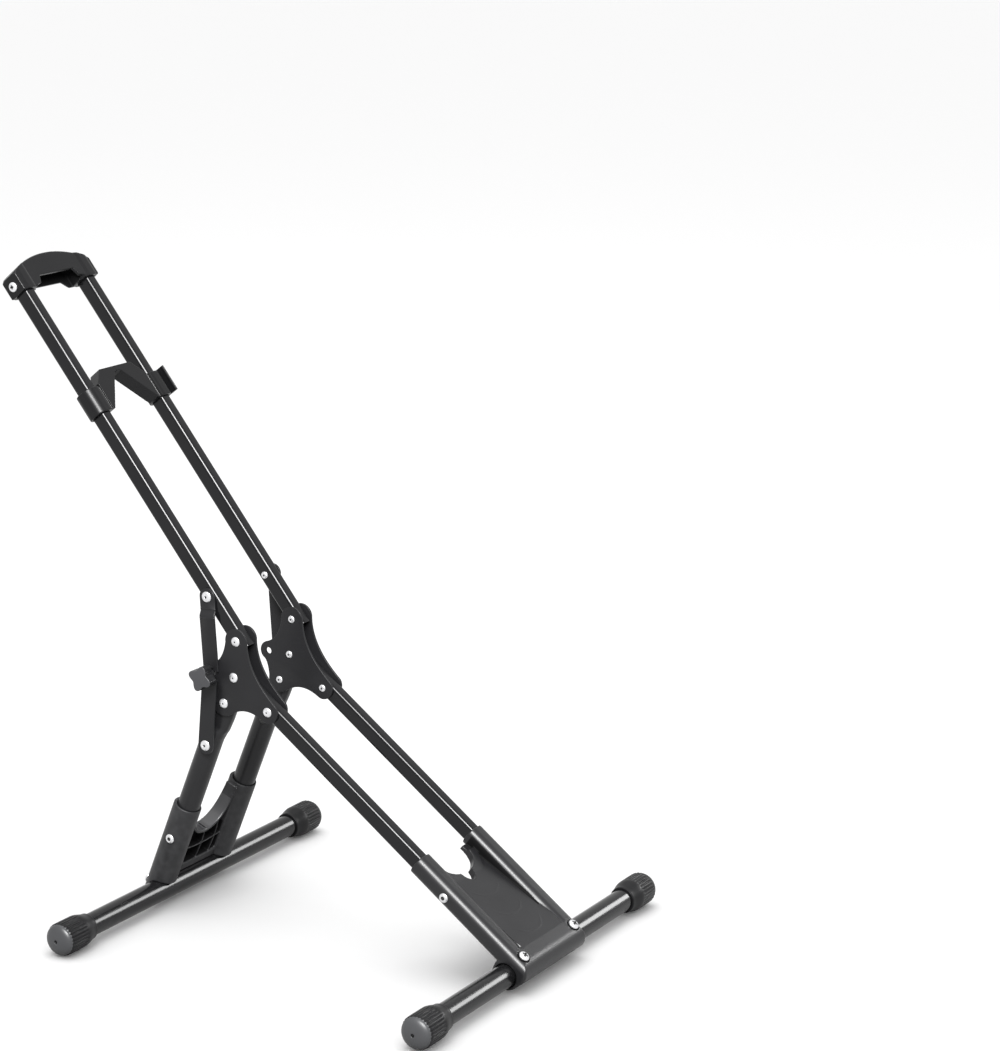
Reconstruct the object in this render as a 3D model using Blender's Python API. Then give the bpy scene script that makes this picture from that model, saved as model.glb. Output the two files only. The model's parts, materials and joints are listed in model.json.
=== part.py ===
"""Folding bicycle floor stand: a tyre stands in it between two pairs of rails, against a sliding yoke.

Metres, +Z up, +X to the stand's right-hand side, -Y towards the front foot. The origin is on the floor, under
the middle of the stand. Lengths below are in millimetres and go through MM on their way into a mesh.
The stand is the same on both sides of X = 0, except for the clamp lever on the right-hand collar."""

import math

import bmesh
import bpy
from mathutils import Matrix, Vector

for old in list(bpy.data.objects):
    bpy.data.objects.remove(old, do_unlink=True)

MM = 0.001

# ---------------------------------------------------------------- driving dimensions (mm, degrees)
# Y values below are counted from midway between the foot tubes; MIDDLE_Y moves the whole stand so that its own
# middle is at Y = 0.
MIDDLE_Y = 76.4916
SPACING = 92.0  # between the centre planes of the left and right rails
RAIL_W = 13.0  # rail section along X
RAIL_H = 16.0  # rail section across its length, in the side view
RAIL_WALL = 1.4
RAIL_CORNER = 3.6
TUBE_R = 11.1  # foot tubes and legs
TUBE_WALL = 1.4
FOOT_LEN = 396.0  # length of each foot tube
CAP_R = 16.13  # over the ribs of a rubber foot
CAP_TIP = 214.5  # X of the domed tip of a rubber foot
CAP_NECK = 167.0  # X where a rubber foot begins
GAP = 0.3  # clearance between separate pieces

RIBS = 14  # ribs round a rubber foot
FOOT_Z = CAP_R * math.cos(math.pi / (3 * RIBS))  # height of the foot tubes: the lowest rib lies flat on the floor
FRONT_TUBE = (-197.3, FOOT_Z)  # (Y, Z) of the front foot tube's axis
REAR_TUBE = (197.3, FOOT_Z)
PIVOT_UP = (98.8, 285.0)  # (Y, Z) of the upper frame's pivot
FIX_TOP = (101.8, 249.6)  # upper of the two rivets that hold a lower rail
PIVOT_LEG = (113.7, 222.4)  # legs' pivot
FIX_LOW = (63.7, 221.9)  # lower of the two rivets that hold a lower rail
EAR = (126.3, 249.6)  # hole for the knob's bolt
STRAP_TOP = (131.2, 323.6)  # strap rivet on the upper rail
STRAP_LOW = (132.8, 178.6)  # strap rivet on the leg
ANG_LOW = 36.1  # slope of the lower rails
ANG_UP = 51.07  # slope of the upper rails

PLATE_T = 2.2
PLATE_IN = RAIL_W / 2 + GAP  # from the rail's centre plane to the near face of a gusset plate
PLATE_OUT = PLATE_IN + PLATE_T
STRAP_T = 2.2
STRAP_W = 17.0
STRAP_A = PLATE_OUT + GAP  # upper strap's near face where it passes the plate
STRAP_B = STRAP_A + STRAP_T + GAP  # lower strap's near face
HEAD_H = 2.0
HEAD_R = 4.7
PIN_R = 2.9

ARM_HALF = 11.2  # half width of a shoe arm and of a collar, along X
ARM_TOP = 9.8
ARM_BOT = -10.4
ARM_END = -201.3  # upper end of a shoe arm, along the lower rail from FIX_LOW
SHOE_FRONT = -349.5
TUBE_S, TUBE_N = -332.1, -12.6  # front tube in the lower rail's frame

COLLAR_LO, COLLAR_HI = 250.0, 276.5  # tyre rest's collars, along the upper rail from PIVOT_UP
REST_TOP = 292.3
REST_FRONT, REST_BACK = 9.6, -4.6
HANDLE_LO, HANDLE_SIDE, HANDLE_TOP = 388.5, 409.5, 422.0
HANDLE_HALF = 56.5
HANDLE_FRONT, HANDLE_BACK = 11.4, -11.0
RAIL_UP_END = 403.5  # upper end of an upper rail, inside the handle
RAIL_UP_START = -9.6
RAIL_LOW_START, RAIL_LOW_END = -314.0, 59.0  # a lower rail along its own length, from FIX_LOW

LEG_OFF = 4.2  # legs' axis behind the line from pivot to rear tube
SOCKET_R = 13.85
SOCKET_TOP = 124.5  # along the leg from its pivot


# ---------------------------------------------------------------- frames
def side_frame(origin, angle):
    """Local (x, s, n) -> world: s runs along the piece in the side view, n across it, x stays world X."""
    a = math.radians(angle)
    return Matrix(
        (
            (1, 0, 0, 0),
            (0, math.cos(a), -math.sin(a), origin[0]),
            (0, math.sin(a), math.cos(a), origin[1]),
            (0, 0, 0, 1),
        )
    )


LOW = side_frame(FIX_LOW, ANG_LOW)
UP = side_frame(PIVOT_UP, ANG_UP)
LEG_ANG = math.degrees(math.atan2(REAR_TUBE[1] - PIVOT_LEG[1], REAR_TUBE[0] - PIVOT_LEG[0]))
LEG = side_frame(PIVOT_LEG, LEG_ANG)
LEG_LEN = math.hypot(REAR_TUBE[1] - PIVOT_LEG[1], REAR_TUBE[0] - PIVOT_LEG[0])
WORLD = Matrix.Identity(4)


# ---------------------------------------------------------------- mesh helpers (lengths in mm)
def finish(name, bm, frame, material, origin=None, smooth_deg=40.0):
    """Make an object of a bmesh whose points are local mm, with its origin at a world point in mm."""
    bmesh.ops.transform(bm, matrix=frame, verts=bm.verts)
    if frame.determinant() < 0:
        bmesh.ops.reverse_faces(bm, faces=bm.faces)
    shift = Vector((0, MIDDLE_Y, 0))
    at = (Vector(origin) if origin else shift.copy()) - shift
    for vert in bm.verts:
        vert.co = (vert.co - shift - at) * MM
    bmesh.ops.recalc_face_normals(bm, faces=bm.faces)
    mesh = bpy.data.meshes.new(name)
    bm.to_mesh(mesh)
    bm.free()
    obj = bpy.data.objects.new(name, mesh)
    bpy.context.scene.collection.objects.link(obj)
    obj.location = at * MM
    if material is not None:
        mesh.materials.append(material)
        mesh.shade_smooth()
        mesh.set_sharp_from_angle(angle=math.radians(smooth_deg))
    return obj


def rounded_rect(half_u, half_v, radius, steps=4, cu=0.0, cv=0.0):
    points = []
    for k, (su, sv) in enumerate(((1, 1), (-1, 1), (-1, -1), (1, -1))):
        for i in range(steps + 1):
            a = math.radians(90 * k + 90 * i / steps)
            points.append(
                (
                    cu + su * (half_u - radius) + radius * math.cos(a),
                    cv + sv * (half_v - radius) + radius * math.sin(a),
                )
            )
    return points


def circle(cu, cv, radius, count, start=0.0):
    return [
        (
            cu + radius * math.cos(start + 2 * math.pi * i / count),
            cv + radius * math.sin(start + 2 * math.pi * i / count),
        )
        for i in range(count)
    ]


def arc(cu, cv, radius, deg0, deg1, steps):
    return [
        (
            cu + radius * math.cos(math.radians(deg0 + (deg1 - deg0) * i / steps)),
            cv + radius * math.sin(math.radians(deg0 + (deg1 - deg0) * i / steps)),
        )
        for i in range(steps + 1)
    ]


def bend(p, q, r, steps):
    """Points of a quadratic curve from p to r with control point q, both ends left out."""
    out = []
    for i in range(1, steps):
        t = i / steps
        out.append(tuple((1 - t) ** 2 * a + 2 * t * (1 - t) * b + t * t * c for a, b, c in zip(p, q, r)))
    return out


def lathe(profile, count, closed, ripple=None):
    """Body of revolution about local X. profile: (x, r) points. closed: a ring section; else both ends on the axis."""
    bm = bmesh.new()
    rings = []
    for j, (x, r) in enumerate(profile):
        if r < 1e-6:
            rings.append([bm.verts.new((x, 0, 0))])
            continue
        ring = []
        for i in range(count):
            a = 2 * math.pi * (i + 0.5) / count - math.pi / 2
            rr = r if ripple is None else r + ripple(i, j)
            ring.append(bm.verts.new((x, rr * math.cos(a), rr * math.sin(a))))
        rings.append(ring)
    pairs = list(zip(rings, rings[1:]))
    if closed:
        pairs.append((rings[-1], rings[0]))
    for a, b in pairs:
        for i in range(count):
            k = (i + 1) % count
            if len(a) == 1:
                bm.faces.new((a[0], b[k], b[i]))
            elif len(b) == 1:
                bm.faces.new((a[i], a[k], b[0]))
            else:
                bm.faces.new((a[i], a[k], b[k], b[i]))
    return bm


def loft(sections, hollow=None):
    """Skin through equal-length loops of 3-D points. hollow: matching inner loops, open at both ends."""
    bm = bmesh.new()
    outer = [[bm.verts.new(p) for p in loop] for loop in sections]
    inner = [[bm.verts.new(p) for p in loop] for loop in hollow] if hollow else None
    for group in (outer, inner) if inner else (outer,):
        for a, b in zip(group, group[1:]):
            for i in range(len(a)):
                k = (i + 1) % len(a)
                bm.faces.new((a[i], a[k], b[k], b[i]))
    if inner:
        for a, b in ((outer[0], inner[0]), (outer[-1], inner[-1])):
            for i in range(len(a)):
                k = (i + 1) % len(a)
                bm.faces.new((a[i], a[k], b[k], b[i]))
    else:
        bm.faces.new(outer[0])
        bm.faces.new(outer[-1])
    return bm


def prism(outline, w0, w1, plane="yz", bevel=0.0, segments=2):
    """Extrude a 2-D outline. plane yz: outline is (s, n), extruded along x. xs: outline is (x, s), extruded along n.
    xn: outline is (x, n), extruded along s."""
    put = {
        "yz": lambda u, v, w: (w, u, v),
        "xs": lambda u, v, w: (u, v, w),
        "xn": lambda u, v, w: (u, w, v),
    }[plane]
    bm = loft([[put(u, v, w) for u, v in outline] for w in (w0, w1)])
    bmesh.ops.recalc_face_normals(bm, faces=bm.faces)
    if bevel:
        caps = [f for f in bm.faces if len(f.verts) == len(outline) and len(outline) > 4 or f in list(bm.faces)[-2:]]
        rim = set()
        for f in caps:
            rim.update(f.edges)
        bmesh.ops.bevel(bm, geom=list(rim), offset=bevel, segments=segments, profile=0.5, affect="EDGES", clamp_overlap=True)
    return bm


def as_cutter(bm, frame):
    return finish("cutter", bm, frame, None)


def combine(target, tools, operation):
    """Boolean each tool into target, exactly, and remove the tool."""
    for tool in tools:
        modifier = target.modifiers.new("b", "BOOLEAN")
        modifier.operation = operation
        modifier.solver = "EXACT"
        modifier.object = tool
        bpy.context.view_layer.update()
        graph = bpy.context.evaluated_depsgraph_get()
        mesh = bpy.data.meshes.new_from_object(target.evaluated_get(graph))
        target.modifiers.clear()
        old = target.data
        target.data = mesh
        mesh.name = old.name
        bpy.data.meshes.remove(old)
        data = tool.data
        bpy.data.objects.remove(tool, do_unlink=True)
        bpy.data.meshes.remove(data)
    bm = bmesh.new()
    bm.from_mesh(target.data)
    bmesh.ops.remove_doubles(bm, verts=bm.verts, dist=2e-6)
    bmesh.ops.dissolve_degenerate(bm, edges=bm.edges, dist=1e-6)
    bmesh.ops.triangulate(bm, faces=[f for f in bm.faces if len(f.verts) > 4])
    bm.to_mesh(target.data)
    bm.free()
    target.data.shade_smooth()
    target.data.set_sharp_from_angle(angle=math.radians(38))
    return target


def x_cyl(yz, radius, x0, x1, count=16):
    """Cylinder along X through a (Y, Z) point of the world frame."""
    return as_cutter(prism(circle(yz[0], yz[1], radius, count, math.pi / count), x0, x1), WORLD)


def material(name, colour, metallic, roughness):
    mat = bpy.data.materials.new(name)
    mat.use_nodes = True
    shader = mat.node_tree.nodes["Principled BSDF"]
    shader.inputs["Base Color"].default_value = (*colour, 1)
    shader.inputs["Metallic"].default_value = metallic
    shader.inputs["Roughness"].default_value = roughness
    return mat


GLOSS_BLACK = material("gloss_black_paint", (0.018, 0.018, 0.019), 0.0, 0.22)
SATIN_BLACK = material("satin_black_paint", (0.035, 0.035, 0.037), 0.0, 0.42)
PLATE_BLACK = material("plate_black_paint", (0.03, 0.03, 0.032), 0.0, 0.45)
MOULDED = material("moulded_black_plastic", (0.05, 0.05, 0.052), 0.0, 0.5)
RUBBER = material("black_rubber", (0.06, 0.06, 0.062), 0.0, 0.7)
ZINC = material("zinc_plated_steel", (0.78, 0.78, 0.8), 1.0, 0.3)
KNOB_GREY = material("knob_grey_plastic", (0.09, 0.09, 0.095), 0.0, 0.5)

SIDES = (("left", -1), ("right", 1))


def rail_x(side):
    return side * SPACING / 2


# ---------------------------------------------------------------- rails
def rail(name, side, frame, s0, s1, holes):
    cx = rail_x(side)
    outer = rounded_rect(RAIL_W / 2, RAIL_H / 2, RAIL_CORNER, 4, cx)
    inner = rounded_rect(RAIL_W / 2 - RAIL_WALL, RAIL_H / 2 - RAIL_WALL, RAIL_CORNER - RAIL_WALL, 4, cx)
    bm = loft([[(u, s, v) for u, v in outer] for s in (s0, s1)], [[(u, s, v) for u, v in inner] for s in (s0, s1)])
    origin = frame @ Vector((cx, 0, 0))
    obj = finish(name, bm, frame, GLOSS_BLACK, origin)
    tools = [x_cyl(p, PIN_R + GAP, cx - 12, cx + 12, 12) for p in holes]
    return combine(obj, tools, "DIFFERENCE")


def low_point(s, n=0.0):
    p = LOW @ Vector((0, s, n))
    return (p.y, p.z)


def up_point(s, n=0.0):
    p = UP @ Vector((0, s, n))
    return (p.y, p.z)


def leg_point(s, n=0.0):
    p = LEG @ Vector((0, s, n))
    return (p.y, p.z)


SHOE_RIVET = low_point(-242.5, -0.8)
HANDLE_SCREW = up_point(397.4, 0.2)
SOCKET_RIVET = leg_point(160.2, LEG_OFF)

for side_name, side in SIDES:
    rail(f"lower_rail_{side_name}", side, LOW, RAIL_LOW_START, RAIL_LOW_END, [FIX_TOP, FIX_LOW, SHOE_RIVET])
    rail(f"upper_rail_{side_name}", side, UP, RAIL_UP_START, RAIL_UP_END, [PIVOT_UP, STRAP_TOP, HANDLE_SCREW])


# ---------------------------------------------------------------- gusset plates
def plate_outline():
    """Four lobes, round the three pins and the fixing rivet, joined by hollow sides, with an ear for the knob."""
    top = arc(*PIVOT_UP, 12.2, -8, 172, 9)
    low = arc(*FIX_LOW, 11.2, 148, 290, 7)
    heel = arc(*PIVOT_LEG, 12.6, 236, 372, 7)
    ear = arc(*EAR, 9.4, -62, 66, 6)
    points = list(top)
    points += bend(top[-1], (PIVOT_UP[0] - 11.5, FIX_TOP[1] + 7.0), low[0], 7)
    points += low
    points += bend(low[-1], (0.5 * (FIX_LOW[0] + PIVOT_LEG[0]), FIX_LOW[1] + 3.2), heel[0], 5)
    points += heel
    points += bend(heel[-1], (PIVOT_LEG[0] + 13.2, EAR[1] - 13.0), ear[0], 4)
    points += ear
    points += bend(ear[-1], (PIVOT_UP[0] + 15.5, EAR[1] + 12.5), top[0], 5)
    return points


for side_name, side in SIDES:
    for depth, sign in (("outer", 1), ("inner", -1)):
        x0 = rail_x(side) + side * sign * PLATE_IN
        x1 = rail_x(side) + side * sign * PLATE_OUT
        bm = prism(plate_outline(), min(x0, x1), max(x0, x1))
        obj = finish(f"gusset_{side_name}_{depth}", bm, WORLD, PLATE_BLACK, ((x0 + x1) / 2, *FIX_TOP))
        tools = [
            x_cyl(p, PIN_R + GAP, min(x0, x1) - 3, max(x0, x1) + 3, 12)
            for p in (PIVOT_UP, FIX_TOP, PIVOT_LEG, FIX_LOW)
        ]
        tools.append(x_cyl(EAR, 3.3, min(x0, x1) - 3, max(x0, x1) + 3, 14))
        combine(obj, tools, "DIFFERENCE")


def rivet(name, yz, cx, x_in, x_out, side, head=HEAD_R, pin=PIN_R, count=12, dimple=True, head_in=3.6):
    """Solid rivet along X: heads beyond x_in and x_out, both measured outwards from the rail's centre plane."""
    low = x_in - HEAD_H
    high = x_out + HEAD_H
    profile = [
        (low, 0.0),
        (low, head_in * 0.62),
        (x_in - 0.6, head_in),
        (x_in, head_in),
        (x_in, pin),
        (x_out, pin),
        (x_out, head),
        (x_out + 0.6, head),
        (high, head * 0.62),
        (high - (0.6 if dimple else 0.0), 0.0),
    ]
    bm = lathe(profile, count, False)
    frame = Matrix.Translation((cx, yz[0], yz[1])) @ Matrix.Diagonal((side, 1, 1, 1))
    return finish(name, bm, frame, ZINC, (cx, *yz))


for side_name, side in SIDES:
    for label, yz in (("pivot_upper", PIVOT_UP), ("fixed_upper", FIX_TOP), ("pivot_leg", PIVOT_LEG), ("fixed_lower", FIX_LOW)):
        rivet(f"rivet_{label}_{side_name}", yz, rail_x(side), -PLATE_OUT - 0.05, PLATE_OUT + 0.05, side)
    rivet(f"rivet_strap_top_{side_name}", STRAP_TOP, rail_x(side), -RAIL_W / 2 - 0.05, PLATE_OUT + 0.05, side, head=5.2)


# ---------------------------------------------------------------- front shoe, front tube
def shoe_side_outline():
    """Side profile of the shoe's front block, round the tube, in the lower rail's (s, n)."""
    points = [(-321.0, ARM_TOP)]
    points += arc(SHOE_FRONT + 14.5, ARM_TOP - 14.5, 14.5, 90, 180, 6)
    a0 = 176.0
    a1 = 350.0
    points += arc(TUBE_S, TUBE_N, 14.6, a0 + 14, a1, 11)
    points += [(-316.6, ARM_BOT)]
    return points


def build_front_shoe():
    block = finish(
        "front_shoe",
        prism(shoe_side_outline(), -57.2, 57.2, bevel=2.4, segments=3),
        LOW,
        MOULDED,
        LOW @ Vector((0, TUBE_S, TUBE_N)),
    )
    parts = []
    for _, side in SIDES:
        section = rounded_rect(ARM_HALF, (ARM_TOP - ARM_BOT) / 2, 4.2, 4, rail_x(side), (ARM_TOP + ARM_BOT) / 2)
        parts.append(as_cutter(prism(section, ARM_END, -318.0, "xn", bevel=1.6), LOW))
    # Web between the arms: it rises towards the front and ends in a U towards the wheel.
    web = [(-214.0, -4.5), (-322.0, 9.1), (-328.0, 4.0), (-318.0, -2.0), (-296.0, -4.6), (-214.0, -9.4)]
    parts.append(as_cutter(prism(web, -37.0, 37.0), LOW))
    combine(block, parts, "UNION")
    cuts = []
    # The notch is wide above, for a fat tyre, with a narrow lobe at its bottom for a thin one.
    half = [(27.5, -180.0), (27.5, -209.0)]
    half += bend((27.5, -209.0), (26.5, -221.5), (19.0, -226.3), 4) + [(19.0, -226.3)]
    half += bend((19.0, -226.3), (13.5, -229.8), (9.6, -230.2), 3) + [(9.6, -230.2)]
    half += bend((9.6, -230.2), (6.9, -240.6), (0.0, -241.6), 4) + [(0.0, -241.6)]
    notch = [(-x, s) for x, s in half[:-1]] + half[::-1]
    cuts.append(as_cutter(prism(notch, -30, 30, "xs"), LOW))
    for _, side in SIDES:
        hole = rounded_rect(RAIL_W / 2 + GAP, RAIL_H / 2 + GAP, RAIL_CORNER + GAP, 3, rail_x(side))
        cuts.append(as_cutter(prism(hole, ARM_END + 5, RAIL_LOW_START - 1.0, "xn"), LOW))
        cuts.append(x_cyl(SHOE_RIVET, PIN_R + GAP, rail_x(side) - 14, rail_x(side) + 14, 12))
        screw = prism(circle(rail_x(side), TUBE_S, 2.9, 12), TUBE_N, ARM_TOP + 8, "xs")
        cuts.append(as_cutter(screw, LOW))
    cuts.append(x_cyl(FRONT_TUBE, TUBE_R + GAP, -70, 70, 32))
    # Hollow underside between the arms.
    cuts.append(as_cutter(prism([(-309, -3.2), (-309, -30), (-262, -30), (-262, -9.6), (-262, -6.0)][:4] + [(-262, -4.8)], -31, 31), LOW))
    return combine(block, cuts, "DIFFERENCE")


build_front_shoe()


def foot_tube(name, yz, holes):
    profile = [
        (-FOOT_LEN / 2, TUBE_R - TUBE_WALL),
        (-FOOT_LEN / 2, TUBE_R),
        (FOOT_LEN / 2, TUBE_R),
        (FOOT_LEN / 2, TUBE_R - TUBE_WALL),
    ]
    obj = finish(name, lathe(profile, 28, True), Matrix.Translation((0, *yz)), GLOSS_BLACK, (0, *yz))
    return combine(obj, holes, "DIFFERENCE")


foot_tube(
    "front_tube",
    FRONT_TUBE,
    [as_cutter(prism(circle(rail_x(s), TUBE_S, 2.5, 10), TUBE_N + 4, 8, "xs"), LOW) for _, s in SIDES],
)


def pan_screw(name, frame, head_r, head_h, shank_r, length, cross=True):
    """Pan-head screw whose head sits on local x = 0 and points to +x; the shank goes to -x."""
    profile = [
        (-length, 0.0),
        (-length, shank_r * 0.7),
        (-length + 1.2, shank_r),
        (0.0, shank_r),
        (0.0, head_r),
        (head_h * 0.45, head_r * 0.98),
        (head_h * 0.82, head_r * 0.78),
        (head_h, head_r * 0.42),
        (head_h, 0.0),
    ]
    obj = finish(name, lathe(profile, 12, False), frame, ZINC, frame.translation)
    if cross:
        cuts = []
        for turn in (0, 90):
            slot = prism([(-head_r * 0.52, -0.55), (head_r * 0.52, -0.55), (head_r * 0.52, 0.55), (-head_r * 0.52, 0.55)], head_h - 1.3, head_h + 2)
            cuts.append(as_cutter(slot, frame @ Matrix.Rotation(math.radians(turn + 45), 4, "X")))
        combine(obj, cuts, "DIFFERENCE")
    return obj


def axis_frame(at, direction):
    """Frame whose local +X is the given world direction."""
    x = Vector(direction).normalized()
    ref = Vector((1, 0, 0)) if abs(x.x) < 0.9 else Vector((0, 1, 0))
    y = (ref - x * ref.dot(x)).normalized()
    z = x.cross(y)
    return Matrix(((x.x, y.x, z.x, at[0]), (x.y, y.y, z.y, at[1]), (x.z, y.z, z.z, at[2]), (0, 0, 0, 1)))


low_n = (LOW.to_3x3() @ Vector((0, 0, 1))).normalized()
for side_name, side in SIDES:
    at = LOW @ Vector((rail_x(side), TUBE_S, ARM_TOP + 0.1))
    pan_screw(f"front_screw_{side_name}", axis_frame(at, low_n), 5.2, 3.2, 2.2, 15.5)
    # Set from outside: its inner head lies inside the rail.
    rivet(f"rivet_shoe_{side_name}", SHOE_RIVET, rail_x(side), RAIL_W / 2 - RAIL_WALL - 0.15, ARM_HALF + 0.05, side, head=4.6)


# ---------------------------------------------------------------- rubber feet
def cap(name, yz, side):
    """Ribbed rubber foot on a tube end, with a domed end face and a dimple in its middle."""
    bore = TUBE_R + 0.15
    dome = CAP_TIP - 207.6
    profile = [
        (CAP_NECK, bore),
        (CAP_NECK, TUBE_R + 2.0),
        (CAP_NECK + 6.0, TUBE_R + 2.9),
        (CAP_NECK + 12.5, CAP_R - 0.5),
        (CAP_NECK + 15.0, CAP_R),
        (205.4, CAP_R),
        (207.6, CAP_R - 0.9),
        (207.6 + dome * 0.62, CAP_R * 0.62),
        (CAP_TIP, 2.2),
        (CAP_TIP - 1.3, 1.2),
        (CAP_TIP - 1.3, 0.0),
    ]
    inside = [(FOOT_LEN / 2 + 1.0, 0.0), (FOOT_LEN / 2 + 1.0, bore)]
    count = RIBS * 3

    def ripple(i, j):
        return -0.9 if j in (4, 5) and i % 3 == 2 else 0.0

    bm = bmesh.new()
    rings = []
    for j, (x, r) in enumerate(profile + inside):
        if r < 1e-6:
            rings.append([bm.verts.new((x, 0, 0))])
            continue
        ring = []
        for i in range(count):
            a = -math.pi / 2 + 2 * math.pi * (i - 0.5) / count
            rr = r + ripple(i, j) if 3 < j < 6 else r
            ring.append(bm.verts.new((x, rr * math.cos(a), rr * math.sin(a))))
        rings.append(ring)
    order = [rings[-2]] + [rings[-1]] + rings[:-2]
    for a, b in zip(order, order[1:]):
        for i in range(count):
            k = (i + 1) % count
            if len(a) == 1:
                bm.faces.new((a[0], b[k], b[i]))
            elif len(b) == 1:
                bm.faces.new((a[i], a[k], b[0]))
            else:
                bm.faces.new((a[i], a[k], b[k], b[i]))
    frame = Matrix.Translation((0, *yz)) @ Matrix.Diagonal((side, 1, 1, 1))
    return finish(name, bm, frame, RUBBER, (side * 190.0, *yz))


for side_name, side in SIDES:
    cap(f"cap_front_{side_name}", FRONT_TUBE, side)
    cap(f"cap_rear_{side_name}", REAR_TUBE, side)


# ---------------------------------------------------------------- handle
def handle_outline():
    """Front view of the handle, (x, s): an arch over two bosses."""
    half, rise = HANDLE_HALF, HANDLE_TOP - HANDLE_SIDE
    chord = half - 3.0
    radius = (chord * chord + rise * rise) / (2 * rise)
    span = math.degrees(math.asin(chord / radius))
    top = arc(0, HANDLE_TOP - radius, radius, 90 - span, 90 + span, 14)
    return [(half, HANDLE_LO), (half, HANDLE_SIDE - 2.6)] + top + [(-half, HANDLE_SIDE - 2.6), (-half, HANDLE_LO)]


def build_handle():
    obj = finish(
        "handle",
        prism(handle_outline(), HANDLE_BACK, HANDLE_FRONT, "xs", bevel=2.2, segments=3),
        UP,
        MOULDED,
        UP @ Vector((0, HANDLE_LO, 0)),
    )
    cuts = []
    # Grip cavity, open below, and the step in the lower edge of its front and back walls.
    cavity = [(33.0, HANDLE_LO - 5), (33.0, 402.0), (26.0, 411.0), (-26.0, 411.0), (-33.0, 402.0), (-33.0, HANDLE_LO - 5)]
    cuts.append(as_cutter(prism(cavity, HANDLE_BACK + 2.8, HANDLE_FRONT - 2.8, "xs"), UP))
    front = [(40.0, HANDLE_LO - 5), (34.5, HANDLE_LO + 2.0), (29.0, HANDLE_LO + 3.2), (25.0, 399.6), (-25.0, 399.6), (-29.0, HANDLE_LO + 3.2), (-34.5, HANDLE_LO + 2.0), (-40.0, HANDLE_LO - 5)]
    cuts.append(as_cutter(prism(front, 4.0, 20.0, "xs"), UP))
    back = [(33.0, HANDLE_LO - 5), (29.0, HANDLE_LO + 0.5), (22.0, 396.0), (-22.0, 396.0), (-29.0, HANDLE_LO + 0.5), (-33.0, HANDLE_LO - 5)]
    cuts.append(as_cutter(prism(back, -20.0, -4.0, "xs"), UP))
    for _, side in SIDES:
        hole = rounded_rect(RAIL_W / 2 + GAP, RAIL_H / 2 + GAP, RAIL_CORNER + GAP, 3, rail_x(side))
        cuts.append(as_cutter(prism(hole, HANDLE_LO - 5, RAIL_UP_END + 0.6, "xn"), UP))
        inner, outer = rail_x(side) - side * 1, rail_x(side) + side * 14
        cuts.append(x_cyl(HANDLE_SCREW, 2.4, min(inner, outer), max(inner, outer), 12))
    return combine(obj, cuts, "DIFFERENCE")


build_handle()
for side_name, side in SIDES:
    at = (side * (HANDLE_HALF + 0.1), *HANDLE_SCREW)
    pan_screw(f"handle_screw_{side_name}", axis_frame(at, (side, 0, 0)), 4.7, 2.4, 1.9, 12.0)


# ---------------------------------------------------------------- tyre rest
def rest_outline():
    """Front view of the sliding tyre rest, (x, s): two arms meeting over an upside-down V for the tyre."""
    outer = [(-36.0, COLLAR_LO + 0.6), (-36.0, COLLAR_HI + 2.0), (-23.5, REST_TOP)]
    apex = [(-5.0, 285.8), (0.0, 287.2), (5.0, 285.8)]
    right = [(-x, s) for x, s in reversed(outer)]
    return outer + right + [(33.5, COLLAR_LO + 0.6)] + list(reversed(apex)) + [(-33.5, COLLAR_LO + 0.6)]


def build_rest():
    body = finish(
        "tyre_rest",
        prism(rest_outline(), REST_BACK, REST_FRONT, "xs"),
        UP,
        MOULDED,
        UP @ Vector((0, COLLAR_LO, 0)),
    )
    parts = []
    for _, side in SIDES:
        section = rounded_rect(ARM_HALF, 10.9, 4.0, 4, rail_x(side), 0.3)
        parts.append(as_cutter(prism(section, COLLAR_LO, COLLAR_HI, "xn", bevel=1.2), UP))
    # Lugs that carry the lever's pin, outside the right-hand collar.
    for s0 in (COLLAR_LO + 2.0, COLLAR_HI - 6.0):
        lug = [(55.0, -9.0), (62.4, -9.0), (62.4, -2.6), (55.0, -2.6)]
        parts.append(as_cutter(prism(lug, s0, s0 + 4.0, "xn"), UP))
    combine(body, parts, "UNION")
    cuts = []
    for _, side in SIDES:
        hole = rounded_rect(RAIL_W / 2 + GAP, RAIL_H / 2 + GAP, RAIL_CORNER + GAP, 3, rail_x(side))
        cuts.append(as_cutter(prism(hole, COLLAR_LO - 4, COLLAR_HI + 4, "xn"), UP))
    cuts.append(as_cutter(prism(circle(PIN_X, PIN_N, 1.5, 12), COLLAR_LO, COLLAR_HI + 4, "xn"), UP))
    return combine(body, cuts, "DIFFERENCE")


PIN_X, PIN_N = 59.9, -5.8
build_rest()

pin = prism(circle(PIN_X, PIN_N, 1.2, 12), COLLAR_LO + 1.2, COLLAR_HI - 1.2, "xn")
finish("lever_pin", pin, UP, ZINC, UP @ Vector((PIN_X, 263.0, PIN_N)))


def build_lever():
    """Cam lever: a barrel round the pin between the lugs, and a flat grip lying along the collar."""
    s0, s1 = COLLAR_LO + 6.4, COLLAR_HI - 6.4
    barrel = finish("clamp_lever", prism(circle(PIN_X, PIN_N, 2.5, 16), s0, s1, "xn"), UP, MOULDED, UP @ Vector((PIN_X, 263.0, PIN_N)))
    grip = [(58.3, -5.0), (61.6, -5.0), (61.9, 9.5), (61.0, 12.6), (59.6, 12.9), (58.6, 9.5)]
    neck = as_cutter(prism(grip, s0, s1, "xn"), UP)
    wide = [(58.3, -1.3), (61.6, -1.3), (61.9, 9.5), (61.0, 12.6), (59.6, 12.9), (58.6, 9.5)]
    pad = as_cutter(prism(wide, COLLAR_LO + 1.5, COLLAR_HI + 2.5, "xn", bevel=0.8, segments=1), UP)
    combine(barrel, [neck, pad], "UNION")
    return combine(barrel, [as_cutter(prism(circle(PIN_X, PIN_N, 1.5, 12), s0 - 3, s1 + 3, "xn"), UP)], "DIFFERENCE")


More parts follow.
